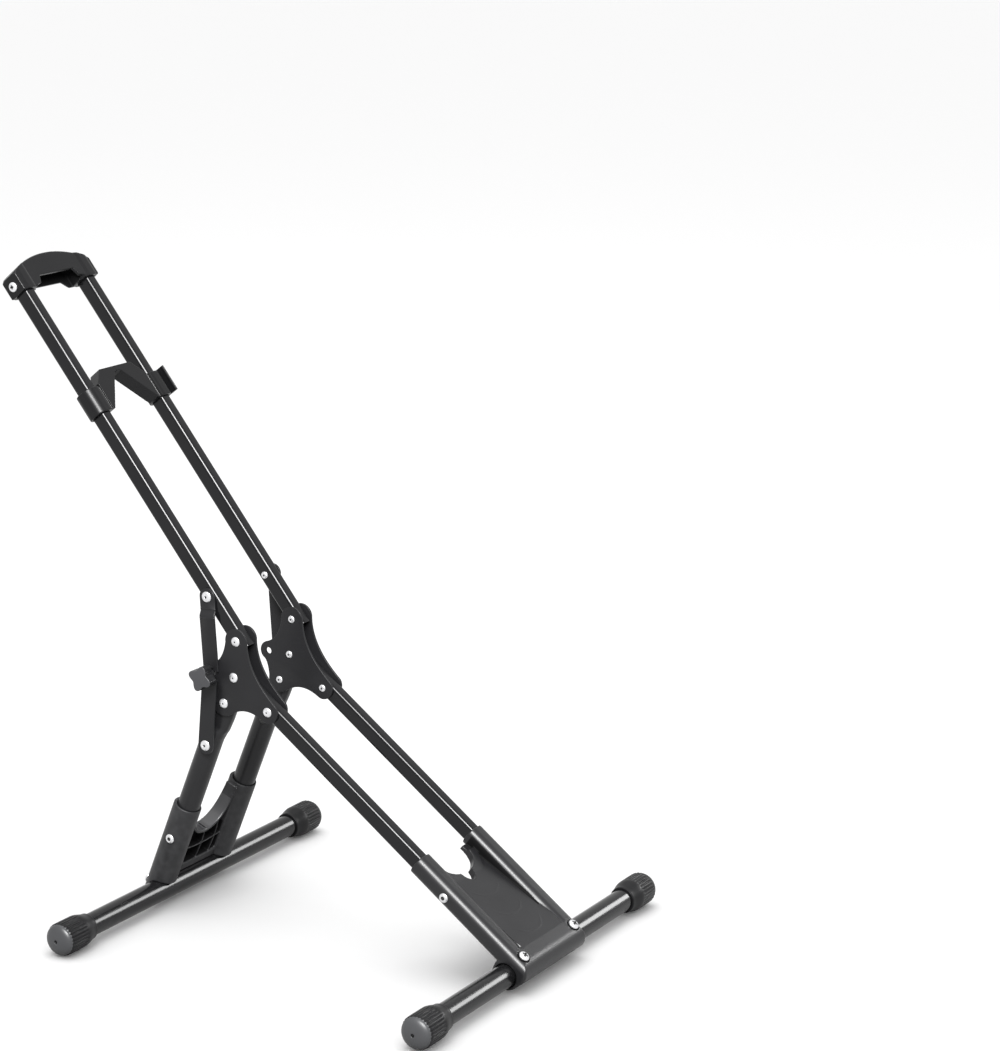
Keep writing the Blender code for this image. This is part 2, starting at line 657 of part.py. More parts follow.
build_lever()


# ---------------------------------------------------------------- straps, knobs
def strap(name, side, pin, far, in_pin, in_far, bend_at, notch):
    """Flat strap with a hole at pin and a side notch for the knob's bolt at far. in_*: near face at each end."""
    cx = rail_x(side)
    length = math.hypot(far[0] - pin[0], far[1] - pin[1])
    angle = math.degrees(math.atan2(far[1] - pin[1], far[0] - pin[0]))
    frame = side_frame(pin, angle)
    half = STRAP_W / 2
    rows = []
    steps = 6
    for i in range(steps + 1):
        a = math.radians(90 * i / steps)
        rows.append((-half * math.cos(a), half * math.sin(a), in_pin))
    if in_pin != in_far:
        rows.append((bend_at, half, in_pin))
        rows.append((bend_at + 5.0, half, in_far))
    for i in range(steps + 1):
        a = math.radians(90 - 90 * i / steps)
        rows.append((length + half * math.cos(a), half * math.sin(a), in_far))
    rows = [(s, max(w, 1.2), off) for s, w, off in rows]
    loops = []
    for s, w, off in rows:
        loops.append([(cx + side * o, s, v) for o, v in ((off, -w), (off, w), (off + STRAP_T, w), (off + STRAP_T, -w))])
    bm = loft(loops)
    obj = finish(name, bm, frame, PLATE_BLACK, (cx + side * (in_pin + STRAP_T / 2), *pin))
    cuts = [x_cyl(pin, PIN_R + GAP, cx - 20, cx + 20, 14)]
    a0, a1 = notch
    reach = 16.0
    wedge = arc(far[0], far[1], 3.6, a1 + 90, a0 + 270, 8)
    wedge += [
        (far[0] + reach * math.cos(math.radians(a0)) + 3.6 * math.cos(math.radians(a0 - 90)), far[1] + reach * math.sin(math.radians(a0)) + 3.6 * math.sin(math.radians(a0 - 90))),
        (far[0] + reach * math.cos(math.radians(a1)) + 3.6 * math.cos(math.radians(a1 + 90)), far[1] + reach * math.sin(math.radians(a1)) + 3.6 * math.sin(math.radians(a1 + 90))),
    ]
    cuts.append(as_cutter(prism(wedge, cx - 20, cx + 20), WORLD))
    return combine(obj, cuts, "DIFFERENCE")


def knob_outline():
    """Four soft lobes."""
    points = []
    for i in range(36):
        a = 2 * math.pi * i / 36
        r = 10.6 + 2.2 * math.cos(4 * (a - math.radians(18)))
        points.append((EAR[0] + r * math.cos(a), EAR[1] + r * math.sin(a)))
    return points


KNOB_IN = STRAP_B + STRAP_T + GAP
for side_name, side in SIDES:
    cx = rail_x(side)
    strap(f"strap_upper_{side_name}", side, STRAP_TOP, EAR, PLATE_IN, STRAP_A, 13.0, (180, 250))
    strap(f"strap_lower_{side_name}", side, STRAP_LOW, EAR, STRAP_B, STRAP_B, 0.0, (140, 185))
    # Knob: hub on the strap, lobed grip outside it, blind hole for the bolt.
    hub_in, hub_out, grip_out = KNOB_IN, KNOB_IN + 5.0, KNOB_IN + 16.0
    x0, x1 = cx + side * hub_out, cx + side * grip_out
    grip = finish(
        f"knob_{side_name}",
        prism(knob_outline(), min(x0, x1), max(x0, x1), bevel=1.8, segments=2),
        WORLD,
        KNOB_GREY,
        (cx + side * hub_in, *EAR),
    )
    h0, h1 = cx + side * hub_in, cx + side * (hub_out + 1)
    combine(grip, [as_cutter(prism(circle(*EAR, 7.2, 20), min(h0, h1), max(h0, h1)), WORLD)], "UNION")
    b0, b1 = cx + side * (hub_in - 2), cx + side * (grip_out - 3.6)
    combine(grip, [x_cyl(EAR, 3.3, min(b0, b1), max(b0, b1), 14)], "DIFFERENCE")
    # Bolt: low round head inside the outer plate, thread through plate, straps and knob.
    head_in, head_out = PLATE_IN - 3.4, PLATE_IN - 0.1
    profile = [
        (head_in, 0.0),
        (head_in, 4.2),
        (head_in + 1.2, 5.4),
        (head_out, 5.4),
        (head_out, 3.0),
        (grip_out - 4.6, 3.0),
        (grip_out - 4.0, 2.4),
        (grip_out - 4.0, 0.0),
    ]
    frame = Matrix.Translation((cx, *EAR)) @ Matrix.Diagonal((side, 1, 1, 1))
    finish(f"knob_bolt_{side_name}", lathe(profile, 12, False), frame, ZINC, (cx, *EAR))


# ---------------------------------------------------------------- legs, rear shoe, rear tube
def leg(name, side):
    """Round tube, pressed flat at its top to sit between the gusset plates."""
    cx = rail_x(side)
    count = 20
    flat_half = RAIL_W / 2  # along X
    outer, inner = [], []
    # s, half width along X, half width along n, centre along n
    rows = [
        (-12.4, flat_half, 9.0, 0.0),
        (-9.0, flat_half, 11.4, 0.6),
        (16.0, flat_half, 12.4, 1.8),
        (27.0, flat_half + 0.1, 12.6, 2.8),
        (36.0, 9.8, 11.7, LEG_OFF - 0.4),
        (42.0, TUBE_R, TUBE_R, LEG_OFF),
        (SOCKET_TOP + 76.0, TUBE_R, TUBE_R, LEG_OFF),
    ]
    for s, hx, hn, cn in rows:
        power = 2.0 if hx > TUBE_R - 0.01 else 3.2
        o, i = [], []
        for k in range(count):
            a = 2 * math.pi * (k + 0.5) / count
            c, d = math.cos(a), math.sin(a)
            e = 2.0 / power
            u = math.copysign(abs(c) ** e, c)
            v = math.copysign(abs(d) ** e, d)
            o.append((cx + hx * u, s, cn + hn * v))
            i.append((cx + (hx - TUBE_WALL) * u, s, cn + (hn - TUBE_WALL) * v))
        outer.append(o)
        inner.append(i)
    obj = finish(name, loft(outer, inner), LEG, SATIN_BLACK, (cx, *PIVOT_LEG))
    cuts = [
        x_cyl(PIVOT_LEG, PIN_R + GAP, cx - 14, cx + 14, 12),
        x_cyl(STRAP_LOW, PIN_R + GAP, cx - 14, cx + 14, 12),
        x_cyl(SOCKET_RIVET, PIN_R + GAP, cx - 14, cx + 14, 12),
    ]
    return combine(obj, cuts, "DIFFERENCE")


SOCKET_N = 5.4


def build_rear_shoe():
    end = LEG_LEN + 16.0
    body = None
    parts = []
    for _, side in SIDES:
        section = circle(rail_x(side), SOCKET_N, SOCKET_R, 24, math.pi / 24)
        bm = prism(section, SOCKET_TOP, end, "xn", bevel=0.8, segments=1)
        if body is None:
            body = finish("rear_shoe", bm, LEG, MOULDED, (0, *REAR_TUBE))
        else:
            parts.append(as_cutter(bm, LEG))
    web = [(SOCKET_TOP + 4.0, 1.5), (end, 1.5), (end, 16.5), (SOCKET_TOP + 4.0, 14.5)]
    parts.append(as_cutter(prism(web, -40, 40), LEG))
    combine(body, parts, "UNION")
    cuts = []
    # U between the legs.
    u = [(-31.0, 100.0), (-31.0, 131.0)]
    u += bend((-31.0, 131.0), (-26.0, 168.0), (0.0, 168.5), 8)
    u += [(0.0, 168.5)]
    u += bend((0.0, 168.5), (26.0, 168.0), (31.0, 131.0), 8)
    u += [(31.0, 131.0), (31.0, 100.0)]
    cuts.append(as_cutter(prism(u, -20, 40, "xs"), LEG))
    # Bays in the front of the web, with ribs left between them.
    for x0, x1 in ((-30.0, -10.9), (-9.3, 9.3), (10.9, 30.0)):
        for k, (s0, s1) in enumerate(((150.0, 166.0), (171.0, 183.5), (185.1, 203.0))):
            if k == 0 and x0 > -20 and x1 < 20:
                continue
            if k == 0:
                x0b, x1b = (x0, -25.0) if x0 < 0 else (25.0, x1)
                box = [(x0b, s0), (x1b, s0), (x1b, s1), (x0b, s1)]
            else:
                box = [(x0, s0), (x1, s0), (x1, s1), (x0, s1)]
            cuts.append(as_cutter(prism(box, -12.0, 11.6, "xs"), LEG))
    # Bores for the legs.
    for _, side in SIDES:
        bore = circle(rail_x(side), LEG_OFF, TUBE_R + GAP + 0.15, 20, math.pi / 20)
        cuts.append(as_cutter(prism(bore, SOCKET_TOP - 4, SOCKET_TOP + 76.6, "xn"), LEG))
        cuts.append(x_cyl(SOCKET_RIVET, PIN_R + GAP, rail_x(side) - 16, rail_x(side) + 16, 12))
        bolt = prism(circle(rail_x(side), LEG_LEN, 2.9, 12), 4.0, 40.0, "xs")
        cuts.append(as_cutter(bolt, LEG))
    # Half-round bed for the rear tube, open to the front, and a level underside.
    bed = arc(LEG_LEN, 0.0, TUBE_R + GAP, 90, 270, 16)
    bed = [(LEG_LEN + (TUBE_R + GAP), -30.0)] + [
        (LEG_LEN + (TUBE_R + GAP) * math.cos(math.radians(a)), (TUBE_R + GAP) * math.sin(math.radians(a)))
        for a in [180.0 * i / 16 for i in range(17)]
    ] + [(LEG_LEN - (TUBE_R + GAP), -30.0)]
    cuts.append(as_cutter(prism(bed, -80, 80), LEG))
    cuts.append(as_cutter(prism([(120.0, -20.0), (300.0, -20.0), (300.0, 2.2), (120.0, 2.2)], -80, 80), WORLD))
    return combine(body, cuts, "DIFFERENCE")


for side_name, side in SIDES:
    leg(f"leg_{side_name}", side)
build_rear_shoe()
foot_tube(
    "rear_tube",
    REAR_TUBE,
    [as_cutter(prism(circle(rail_x(s), LEG_LEN, 2.5, 10), 4.0, 16.0, "xs"), LEG) for _, s in SIDES],
)
leg_n = (LEG.to_3x3() @ Vector((0, 0, 1))).normalized()
for side_name, side in SIDES:
    rivet(f"rivet_strap_low_{side_name}", STRAP_LOW, rail_x(side), -TUBE_R - 0.1, STRAP_B + STRAP_T + 0.05, side, head=5.2)
    rivet(f"rivet_socket_{side_name}", SOCKET_RIVET, rail_x(side), TUBE_R - TUBE_WALL - 1.5, SOCKET_R + 0.1, side, head=4.6)
    at = LEG @ Vector((rail_x(side), LEG_LEN, SOCKET_N + SOCKET_R + 0.1))
    pan_screw(f"rear_screw_{side_name}", axis_frame(at, leg_n), 4.9, 2.8, 2.2, 15.0)
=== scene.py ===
"""Looks of the folding bicycle floor stand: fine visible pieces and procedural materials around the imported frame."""
import json
import math

import bmesh
import bpy
from mathutils import Matrix, Vector, noise

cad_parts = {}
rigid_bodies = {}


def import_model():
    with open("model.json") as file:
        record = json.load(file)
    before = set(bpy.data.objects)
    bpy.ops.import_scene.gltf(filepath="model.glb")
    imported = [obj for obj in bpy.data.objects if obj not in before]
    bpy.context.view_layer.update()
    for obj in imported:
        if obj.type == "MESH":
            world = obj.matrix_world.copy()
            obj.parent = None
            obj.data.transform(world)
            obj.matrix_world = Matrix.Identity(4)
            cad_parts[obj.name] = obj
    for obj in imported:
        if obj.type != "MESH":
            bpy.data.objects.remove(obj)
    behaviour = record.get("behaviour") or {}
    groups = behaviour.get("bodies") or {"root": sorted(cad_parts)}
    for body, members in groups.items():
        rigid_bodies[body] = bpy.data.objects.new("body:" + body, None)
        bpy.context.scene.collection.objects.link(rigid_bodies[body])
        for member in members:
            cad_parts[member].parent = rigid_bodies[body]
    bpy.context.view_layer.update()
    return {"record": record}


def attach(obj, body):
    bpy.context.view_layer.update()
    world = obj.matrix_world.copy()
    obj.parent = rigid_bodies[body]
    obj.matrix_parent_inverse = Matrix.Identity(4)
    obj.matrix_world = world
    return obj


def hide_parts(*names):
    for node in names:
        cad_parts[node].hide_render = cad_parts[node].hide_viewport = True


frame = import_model()
BODY = {n: b for b, ns in frame["record"]["behaviour"]["bodies"].items() for n in ns}
MM = 0.001

# ---------------------------------------------------------------- dimensions, as in the CAD model
MIDDLE_Y = 76.4916
SPACING, RAIL_W, RAIL_H, RAIL_WALL, RAIL_CORNER = 92.0, 13.0, 16.0, 1.4, 3.6
TUBE_R, TUBE_WALL, FOOT_LEN = 11.1, 1.4, 396.0
CAP_R, CAP_TIP, CAP_NECK, GAP = 16.13, 214.5, 167.0, 0.3
FOOT_Z = CAP_R * math.cos(math.pi / 42)
FRONT_TUBE, REAR_TUBE = (-197.3, FOOT_Z), (197.3, FOOT_Z)
PIVOT_UP, FIX_TOP, PIVOT_LEG = (98.8, 285.0), (101.8, 249.6), (113.7, 222.4)
FIX_LOW, EAR, STRAP_TOP, STRAP_LOW = (63.7, 221.9), (126.3, 249.6), (131.2, 323.6), (132.8, 178.6)
ANG_LOW, ANG_UP = 36.1, 51.07
PLATE_T = 2.2
PLATE_IN = RAIL_W / 2 + GAP
PLATE_OUT = PLATE_IN + PLATE_T
STRAP_T, STRAP_W = 2.2, 17.0
STRAP_A = PLATE_OUT + GAP
STRAP_B = STRAP_A + STRAP_T + GAP
HEAD_H, HEAD_R, PIN_R = 2.0, 4.7, 2.9
ARM_HALF, ARM_TOP, ARM_BOT, ARM_END = 11.2, 9.8, -10.4, -201.3
SHOE_FRONT, TUBE_S, TUBE_N = -349.5, -332.1, -12.6
COLLAR_LO, COLLAR_HI, REST_TOP, REST_FRONT, REST_BACK = 250.0, 276.5, 292.3, 9.6, -4.6
HANDLE_LO, HANDLE_SIDE, HANDLE_TOP, HANDLE_HALF = 388.5, 409.5, 422.0, 56.5
HANDLE_FRONT, HANDLE_BACK = 11.4, -11.0
RAIL_UP_END, RAIL_UP_START, RAIL_LOW_START, RAIL_LOW_END = 403.5, -9.6, -314.0, 59.0
LEG_OFF, SOCKET_R, SOCKET_TOP, SOCKET_N = 4.2, 13.85, 124.5, 5.4
PIN_X, PIN_N = 59.9, -5.8
SIDES = (("left", -1), ("right", 1))


def side_frame(origin, angle):
    a = math.radians(angle)
    return Matrix(((1, 0, 0, 0), (0, math.cos(a), -math.sin(a), origin[0]), (0, math.sin(a), math.cos(a), origin[1]), (0, 0, 0, 1)))


LOW = side_frame(FIX_LOW, ANG_LOW)
UP = side_frame(PIVOT_UP, ANG_UP)
LEG_ANG = math.degrees(math.atan2(REAR_TUBE[1] - PIVOT_LEG[1], REAR_TUBE[0] - PIVOT_LEG[0]))
LEG = side_frame(PIVOT_LEG, LEG_ANG)
LEG_LEN = math.hypot(REAR_TUBE[1] - PIVOT_LEG[1], REAR_TUBE[0] - PIVOT_LEG[0])
WORLD = Matrix.Identity(4)
TO_M = Matrix.Scale(MM, 4) @ Matrix.Translation((0, -MIDDLE_Y, 0))


# ---------------------------------------------------------------- materials
def links(mat):
    nt = mat.node_tree
    return nt, nt.nodes, nt.links


def surface(name, colour, rough, *, metallic=0.0, spread=0.25, grain=900.0, bump=0.05, bump_mm=0.15, rough_spread=0.08,
            spots=None, coat=0.0, specular=0.5, blotch=22.0):
    """Painted, moulded, rubber or plated surface: colour and roughness vary slowly, fine grain in the bump."""
    mat = bpy.data.materials.new(name)
    mat.use_nodes = True
    nt, nodes, link = links(mat)
    shader = nodes["Principled BSDF"]
    shader.inputs["Metallic"].default_value = metallic
    shader.inputs["Specular IOR Level"].default_value = specular
    if coat:
        shader.inputs["Coat Weight"].default_value = coat
        shader.inputs["Coat Roughness"].default_value = 0.06
    where = nodes.new("ShaderNodeTexCoord")
    slow = nodes.new("ShaderNodeTexNoise")
    slow.inputs["Scale"].default_value = blotch
    slow.inputs["Detail"].default_value = 4.0
    slow.inputs["Roughness"].default_value = 0.55
    link.new(where.outputs["Object"], slow.inputs["Vector"])
    fine = nodes.new("ShaderNodeTexNoise")
    fine.inputs["Scale"].default_value = grain
    fine.inputs["Detail"].default_value = 2.0
    link.new(where.outputs["Object"], fine.inputs["Vector"])
    ramp = nodes.new("ShaderNodeValToRGB")
    low = [max(0.0, c * (1 - spread)) for c in colour]
    high = [min(1.0, c * (1 + spread)) for c in colour]
    ramp.color_ramp.elements[0].position = 0.3
    ramp.color_ramp.elements[0].color = (*low, 1)
    ramp.color_ramp.elements[1].position = 0.7
    ramp.color_ramp.elements[1].color = (*high, 1)
    link.new(slow.outputs["Fac"], ramp.inputs["Fac"])
    colour_out = ramp.outputs["Color"]
    if spots:
        speck = nodes.new("ShaderNodeTexNoise")
        speck.inputs["Scale"].default_value = spots[0]
        speck.inputs["Detail"].default_value = 1.0
        link.new(where.outputs["Object"], speck.inputs["Vector"])
        pick = nodes.new("ShaderNodeMapRange")
        pick.inputs["From Min"].default_value = 0.62
        pick.inputs["From Max"].default_value = 0.72
        link.new(speck.outputs["Fac"], pick.inputs["Value"])
        mix = nodes.new("ShaderNodeMix")
        mix.data_type = "RGBA"
        link.new(pick.outputs["Result"], mix.inputs["Factor"])
        link.new(colour_out, mix.inputs["A"])
        mix.inputs["B"].default_value = (*spots[1], 1)
        colour_out = mix.outputs["Result"]
    link.new(colour_out, shader.inputs["Base Color"])
    rr = nodes.new("ShaderNodeMapRange")
    rr.inputs["From Min"].default_value = 0.25
    rr.inputs["From Max"].default_value = 0.75
    rr.inputs["To Min"].default_value = max(0.02, rough - rough_spread)
    rr.inputs["To Max"].default_value = min(1.0, rough + rough_spread)
    add = nodes.new("ShaderNodeMath")
    add.operation = "ADD"
    scaled = nodes.new("ShaderNodeMath")
    scaled.operation = "MULTIPLY"
    scaled.inputs[1].default_value = 0.5
    link.new(slow.outputs["Fac"], scaled.inputs[0])
    scaled2 = nodes.new("ShaderNodeMath")
    scaled2.operation = "MULTIPLY"
    scaled2.inputs[1].default_value = 0.5
    link.new(fine.outputs["Fac"], scaled2.inputs[0])
    link.new(scaled.outputs[0], add.inputs[0])
    link.new(scaled2.outputs[0], add.inputs[1])
    link.new(add.outputs[0], rr.inputs["Value"])
    link.new(rr.outputs["Result"], shader.inputs["Roughness"])
    node = nodes.new("ShaderNodeBump")
    node.inputs["Strength"].default_value = bump
    node.inputs["Distance"].default_value = bump_mm * MM
    link.new(fine.outputs["Fac"], node.inputs["Height"])
    link.new(node.outputs["Normal"], shader.inputs["Normal"])
    return mat


GLOSS = surface("gloss_black_paint_fine", (0.0035, 0.0035, 0.0039), 0.13, spread=0.12, grain=500.0, bump=0.0, rough_spread=0.02, specular=0.21)
TUBE = surface("gloss_tube_paint_fine", (0.0028, 0.0028, 0.003), 0.18, spread=0.3, grain=420.0, bump=0.02, rough_spread=0.03, specular=0.24,
               spots=(900.0, (0.012, 0.012, 0.013)))
SATIN = surface("satin_black_paint_fine", (0.0055, 0.0055, 0.006), 0.34, spread=0.15, grain=1500.0, bump=0.08, specular=0.24)
PLATE = surface("plate_black_paint_fine", (0.0062, 0.0062, 0.0068), 0.40, spread=0.1, grain=1700.0, bump=0.06, specular=0.19)
MOULD = surface("moulded_black_plastic_fine", (0.0058, 0.0058, 0.0063), 0.34, spread=0.12, grain=1300.0, bump=0.1, bump_mm=0.12, specular=0.27)
GRIP = surface("grip_black_plastic_fine", (0.0028, 0.0028, 0.0031), 0.33, spread=0.12, grain=1300.0, bump=0.08, bump_mm=0.12, specular=0.19)
# Painted shade: a darker, duller copy of the moulded plastic, laid on faces in creases and recesses.
PAINTED_SHADE = surface("moulded_recess_painted_shade_fine", (0.002, 0.002, 0.0021), 0.7, spread=0.2, grain=1100.0, bump=0.15, specular=0.06)
RUBBER = surface("black_rubber_fine", (0.003, 0.003, 0.0033), 0.40, spread=0.15, grain=1200.0, bump=0.2, bump_mm=0.15, specular=0.17)
CAP_FACE = surface("rubber_face_fine", (0.022, 0.0225, 0.024), 0.40, spread=0.1, grain=1500.0, bump=0.15, specular=0.35)
ZINC = surface("zinc_plated_steel_fine", (0.56, 0.56, 0.57), 0.28, metallic=0.85, spread=0.1, grain=2600.0, bump=0.08, blotch=160.0)
# Painted shade: a dark metal for the insides of rivet holes and screw recesses.
RECESS_SHADE = surface("rivet_recess_painted_shade_fine", (0.02, 0.02, 0.02), 0.6, metallic=0.5, grain=2600.0)
SOCKET = surface("socket_black_plastic_fine", (0.0125, 0.0125, 0.0132), 0.44, spread=0.3, grain=1300.0, bump=0.2, bump_mm=0.15, specular=0.18, blotch=120.0)
# Partly painted highlight: a lighter, glossier copy of the socket plastic, laid on the saddle lip's faces that face one
# way.
LIP_HIGHLIGHT = surface("saddle_lip_painted_highlight_fine", (0.014, 0.014, 0.015), 0.3, spread=0.15, grain=1300.0, bump=0.05, specular=0.5)
KNOB = surface("knob_grey_plastic_fine", (0.022, 0.022, 0.024), 0.42, spread=0.1, grain=1500.0, bump=0.12, bump_mm=0.1, specular=0.35)


# ---------------------------------------------------------------- mesh helpers
def obj_of(name, bm, local, mats):
    bmesh.ops.transform(bm, matrix=TO_M @ local, verts=bm.verts)
    if local.determinant() < 0:
        bmesh.ops.reverse_faces(bm, faces=bm.faces)
    bmesh.ops.recalc_face_normals(bm, faces=bm.faces)
    mesh = bpy.data.meshes.new(name)
    bm.to_mesh(mesh)
    bm.free()
    obj = bpy.data.objects.new(name, mesh)
    bpy.context.scene.collection.objects.link(obj)
    for mat in mats:
        mesh.materials.append(mat)
    return obj


def bake(obj):
    """Turn the object's modifiers into its mesh."""
    bpy.context.view_layer.update()
    graph = bpy.context.evaluated_depsgraph_get()
    mesh = bpy.data.meshes.new_from_object(obj.evaluated_get(graph))
    obj.modifiers.clear()
    old = obj.data
    obj.data = mesh
    bpy.data.meshes.remove(old)
    return obj


def boolean(target, tools, operation):
    for tool in tools:
        m = target.modifiers.new("b", "BOOLEAN")
        m.operation = operation
        m.solver = "EXACT"
        m.object = tool
        bake(target)
        data = tool.data
        bpy.data.objects.remove(tool, do_unlink=True)
        bpy.data.meshes.remove(data)
        bm = bmesh.new()
        bm.from_mesh(target.data)
        bmesh.ops.remove_doubles(bm, verts=bm.verts, dist=2e-6)
        bmesh.ops.dissolve_degenerate(bm, edges=bm.edges, dist=1e-6)
        bm.to_mesh(target.data)
        bm.free()
    return target


def smooth_shade(obj, deg=35.0):
    obj.data.shade_smooth()
    obj.data.set_sharp_from_angle(angle=math.radians(deg))


def soften(obj, voxel, rounds=3, factor=0.5):
    """Remesh into even small faces and relax them, so that every edge gets a moulded radius."""
    m = obj.modifiers.new("r", "REMESH")
    m.mode = "VOXEL"
    m.voxel_size = voxel * MM
    m.use_smooth_shade = True
    bake(obj)
    if rounds:
        m = obj.modifiers.new("s", "SMOOTH")
        m.factor = factor
        m.iterations = rounds
        bake(obj)
    obj.data.shade_smooth()
    return obj


def paint_light(obj, local, test, mat=None):
    """Painted light: give the dark painted-shade material, or mat, to the faces that test(x, s, n, normal) picks, in
    the local frame.
    """
    inv = (TO_M @ local).inverted()
    turn = local.to_3x3().inverted()
    obj.data.materials.append(mat or PAINTED_SHADE)
    index = len(obj.data.materials) - 1
    for f in obj.data.polygons:
        p = inv @ f.center
        if test(p.x, p.y, p.z, turn @ f.normal):
            f.material_index = index


def place(obj, node, *more):
    """obj stands for a CAD node and moves with its body."""
    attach(obj, BODY[node])
    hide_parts(node, *more)
    return obj


def rounded_rect(hu, hv, r, steps=10, cu=0.0, cv=0.0):
    pts = []
    for k, (su, sv) in enumerate(((1, 1), (-1, 1), (-1, -1), (1, -1))):
        for i in range(steps + 1):
            a = math.radians(90 * k + 90 * i / steps)
            pts.append((cu + su * (hu - r) + r * math.cos(a), cv + sv * (hv - r) + r * math.sin(a)))
    return pts


def circle(cu, cv, r, count, start=0.0):
    return [(cu + r * math.cos(start + 2 * math.pi * i / count), cv + r * math.sin(start + 2 * math.pi * i / count)) for i in range(count)]


def arc(cu, cv, r, d0, d1, steps):
    return [(cu + r * math.cos(math.radians(d0 + (d1 - d0) * i / steps)), cv + r * math.sin(math.radians(d0 + (d1 - d0) * i / steps))) for i in range(steps + 1)]


def bend(p, q, r, steps):
    out = []
    for i in range(1, steps):
        t = i / steps
        out.append(tuple((1 - t) ** 2 * a + 2 * t * (1 - t) * b + t * t * c for a, b, c in zip(p, q, r)))
    return out


def loft(sections, hollow=None):
    bm = bmesh.new()
    outer = [[bm.verts.new(p) for p in loop] for loop in sections]
    inner = [[bm.verts.new(p) for p in loop] for loop in hollow] if hollow else None
    for group in (outer, inner) if inner else (outer,):
        for a, b in zip(group, group[1:]):
            for i in range(len(a)):
                k = (i + 1) % len(a)
                bm.faces.new((a[i], a[k], b[k], b[i]))
    if inner:
        for a, b in ((outer[0], inner[0]), (outer[-1], inner[-1])):
            for i in range(len(a)):
                k = (i + 1) % len(a)
                bm.faces.new((a[i], a[k], b[k], b[i]))
    else:
        bm.faces.new(outer[0])
        bm.faces.new(outer[-1])
    bmesh.ops.recalc_face_normals(bm, faces=bm.faces)
    return bm


PUT = {"yz": lambda u, v, w: (w, u, v), "xs": lambda u, v, w: (u, v, w), "xn": lambda u, v, w: (u, w, v)}


def prism(outline, w0, w1, plane="yz", bevel=0.0, segments=3):
    put = PUT[plane]
    bm = loft([[put(u, v, w) for u, v in outline] for w in (w0, w1)])
    if bevel:
        caps = [f for f in bm.faces if len(f.verts) == len(outline) and len(outline) > 4 or f in list(bm.faces)[-2:]]
        rim = set()
        for f in caps:
            rim.update(f.edges)
        bmesh.ops.bevel(bm, geom=list(rim), offset=bevel, segments=segments, profile=0.5, affect="EDGES", clamp_overlap=True)
    return bm


def cutter(bm, local):
    return obj_of("cutter", bm, local, [])


def lathe(profile, count, mats_at=None, start=0.0):
    """Body of revolution about local X from (x, r) points; a point at r 0 closes it. mats_at: index per profile span."""
    bm = bmesh.new()
    rings = []
    for x, r in profile:
        if r < 1e-6:
            rings.append([bm.verts.new((x, 0, 0))])
        else:
            rings.append([bm.verts.new((x, r * math.cos(start + 2 * math.pi * i / count), r * math.sin(start + 2 * math.pi * i / count))) for i in range(count)])
    for j, (a, b) in enumerate(zip(rings, rings[1:])):
        for i in range(count):
            k = (i + 1) % count
            if len(a) == 1 and len(b) == 1:
                continue
            if len(a) == 1:
                f = bm.faces.new((a[0], b[k], b[i]))
            elif len(b) == 1:
                f = bm.faces.new((a[i], a[k], b[0]))
            else:
                f = bm.faces.new((a[i], a[k], b[k], b[i]))
            if mats_at:
                f.material_index = mats_at[j]
    return bm


def axis_frame(at, direction):
    x = Vector(direction).normalized()
    ref = Vector((1, 0, 0)) if abs(x.x) < 0.9 else Vector((0, 1, 0))
    y = (ref - x * ref.dot(x)).normalized()
    z = x.cross(y)
    return Matrix(((x.x, y.x, z.x, at[0]), (x.y, y.y, z.y, at[1]), (x.z, y.z, z.z, at[2]), (0, 0, 0, 1)))


def rail_x(side):
    return side * SPACING / 2


def pt(local, s, n=0.0):
    p = local @ Vector((0, s, n))
    return (p.y, p.z)


SHOE_RIVET = pt(LOW, -242.5, -0.8)
HANDLE_SCREW = pt(UP, 397.4, 0.2)
SOCKET_RIVET = pt(LEG, 160.2, LEG_OFF)


# ---------------------------------------------------------------- rails
def rail(node, side, local, s0, s1):
    cx = rail_x(side)
    lead = 0.35
    outer, inner = [], []
    for s, shrink in ((s0, lead), (s0 + lead, 0.0), (s1 - lead, 0.0), (s1, lead)):
        outer.append([(u, s, v) for u, v in rounded_rect(RAIL_W / 2 - shrink, RAIL_H / 2 - shrink, RAIL_CORNER, 12, cx)])
        inner.append([(u, s, v) for u, v in rounded_rect(RAIL_W / 2 - RAIL_WALL, RAIL_H / 2 - RAIL_WALL, RAIL_CORNER - RAIL_WALL, 12, cx)])
    obj = obj_of(node + "_fine", loft(outer, inner), local, [GLOSS])
    smooth_shade(obj, 40)
    place(obj, node)


for side_name, side in SIDES:
    rail(f"lower_rail_{side_name}", side, LOW, RAIL_LOW_START, RAIL_LOW_END)
    rail(f"upper_rail_{side_name}", side, UP, RAIL_UP_START, RAIL_UP_END)


# ---------------------------------------------------------------- gusset plates
def plate_outline():
    top = arc(*PIVOT_UP, 12.2, -8, 172, 24)
    low = arc(*FIX_LOW, 11.2, 148, 290, 18)
    heel = arc(*PIVOT_LEG, 12.6, 236, 372, 18)
    ear = arc(*EAR, 9.4, -62, 66, 14)
    pts = list(top)
    pts += bend(top[-1], (PIVOT_UP[0] - 11.5, FIX_TOP[1] + 7.0), low[0], 20)
    pts += low
    pts += bend(low[-1], (0.5 * (FIX_LOW[0] + PIVOT_LEG[0]), FIX_LOW[1] + 3.2), heel[0], 14)
    pts += heel
    pts += bend(heel[-1], (PIVOT_LEG[0] + 13.2, EAR[1] - 13.0), ear[0], 10)
    pts += ear
    pts += bend(ear[-1], (PIVOT_UP[0] + 15.5, EAR[1] + 12.5), top[0], 12)
    return pts


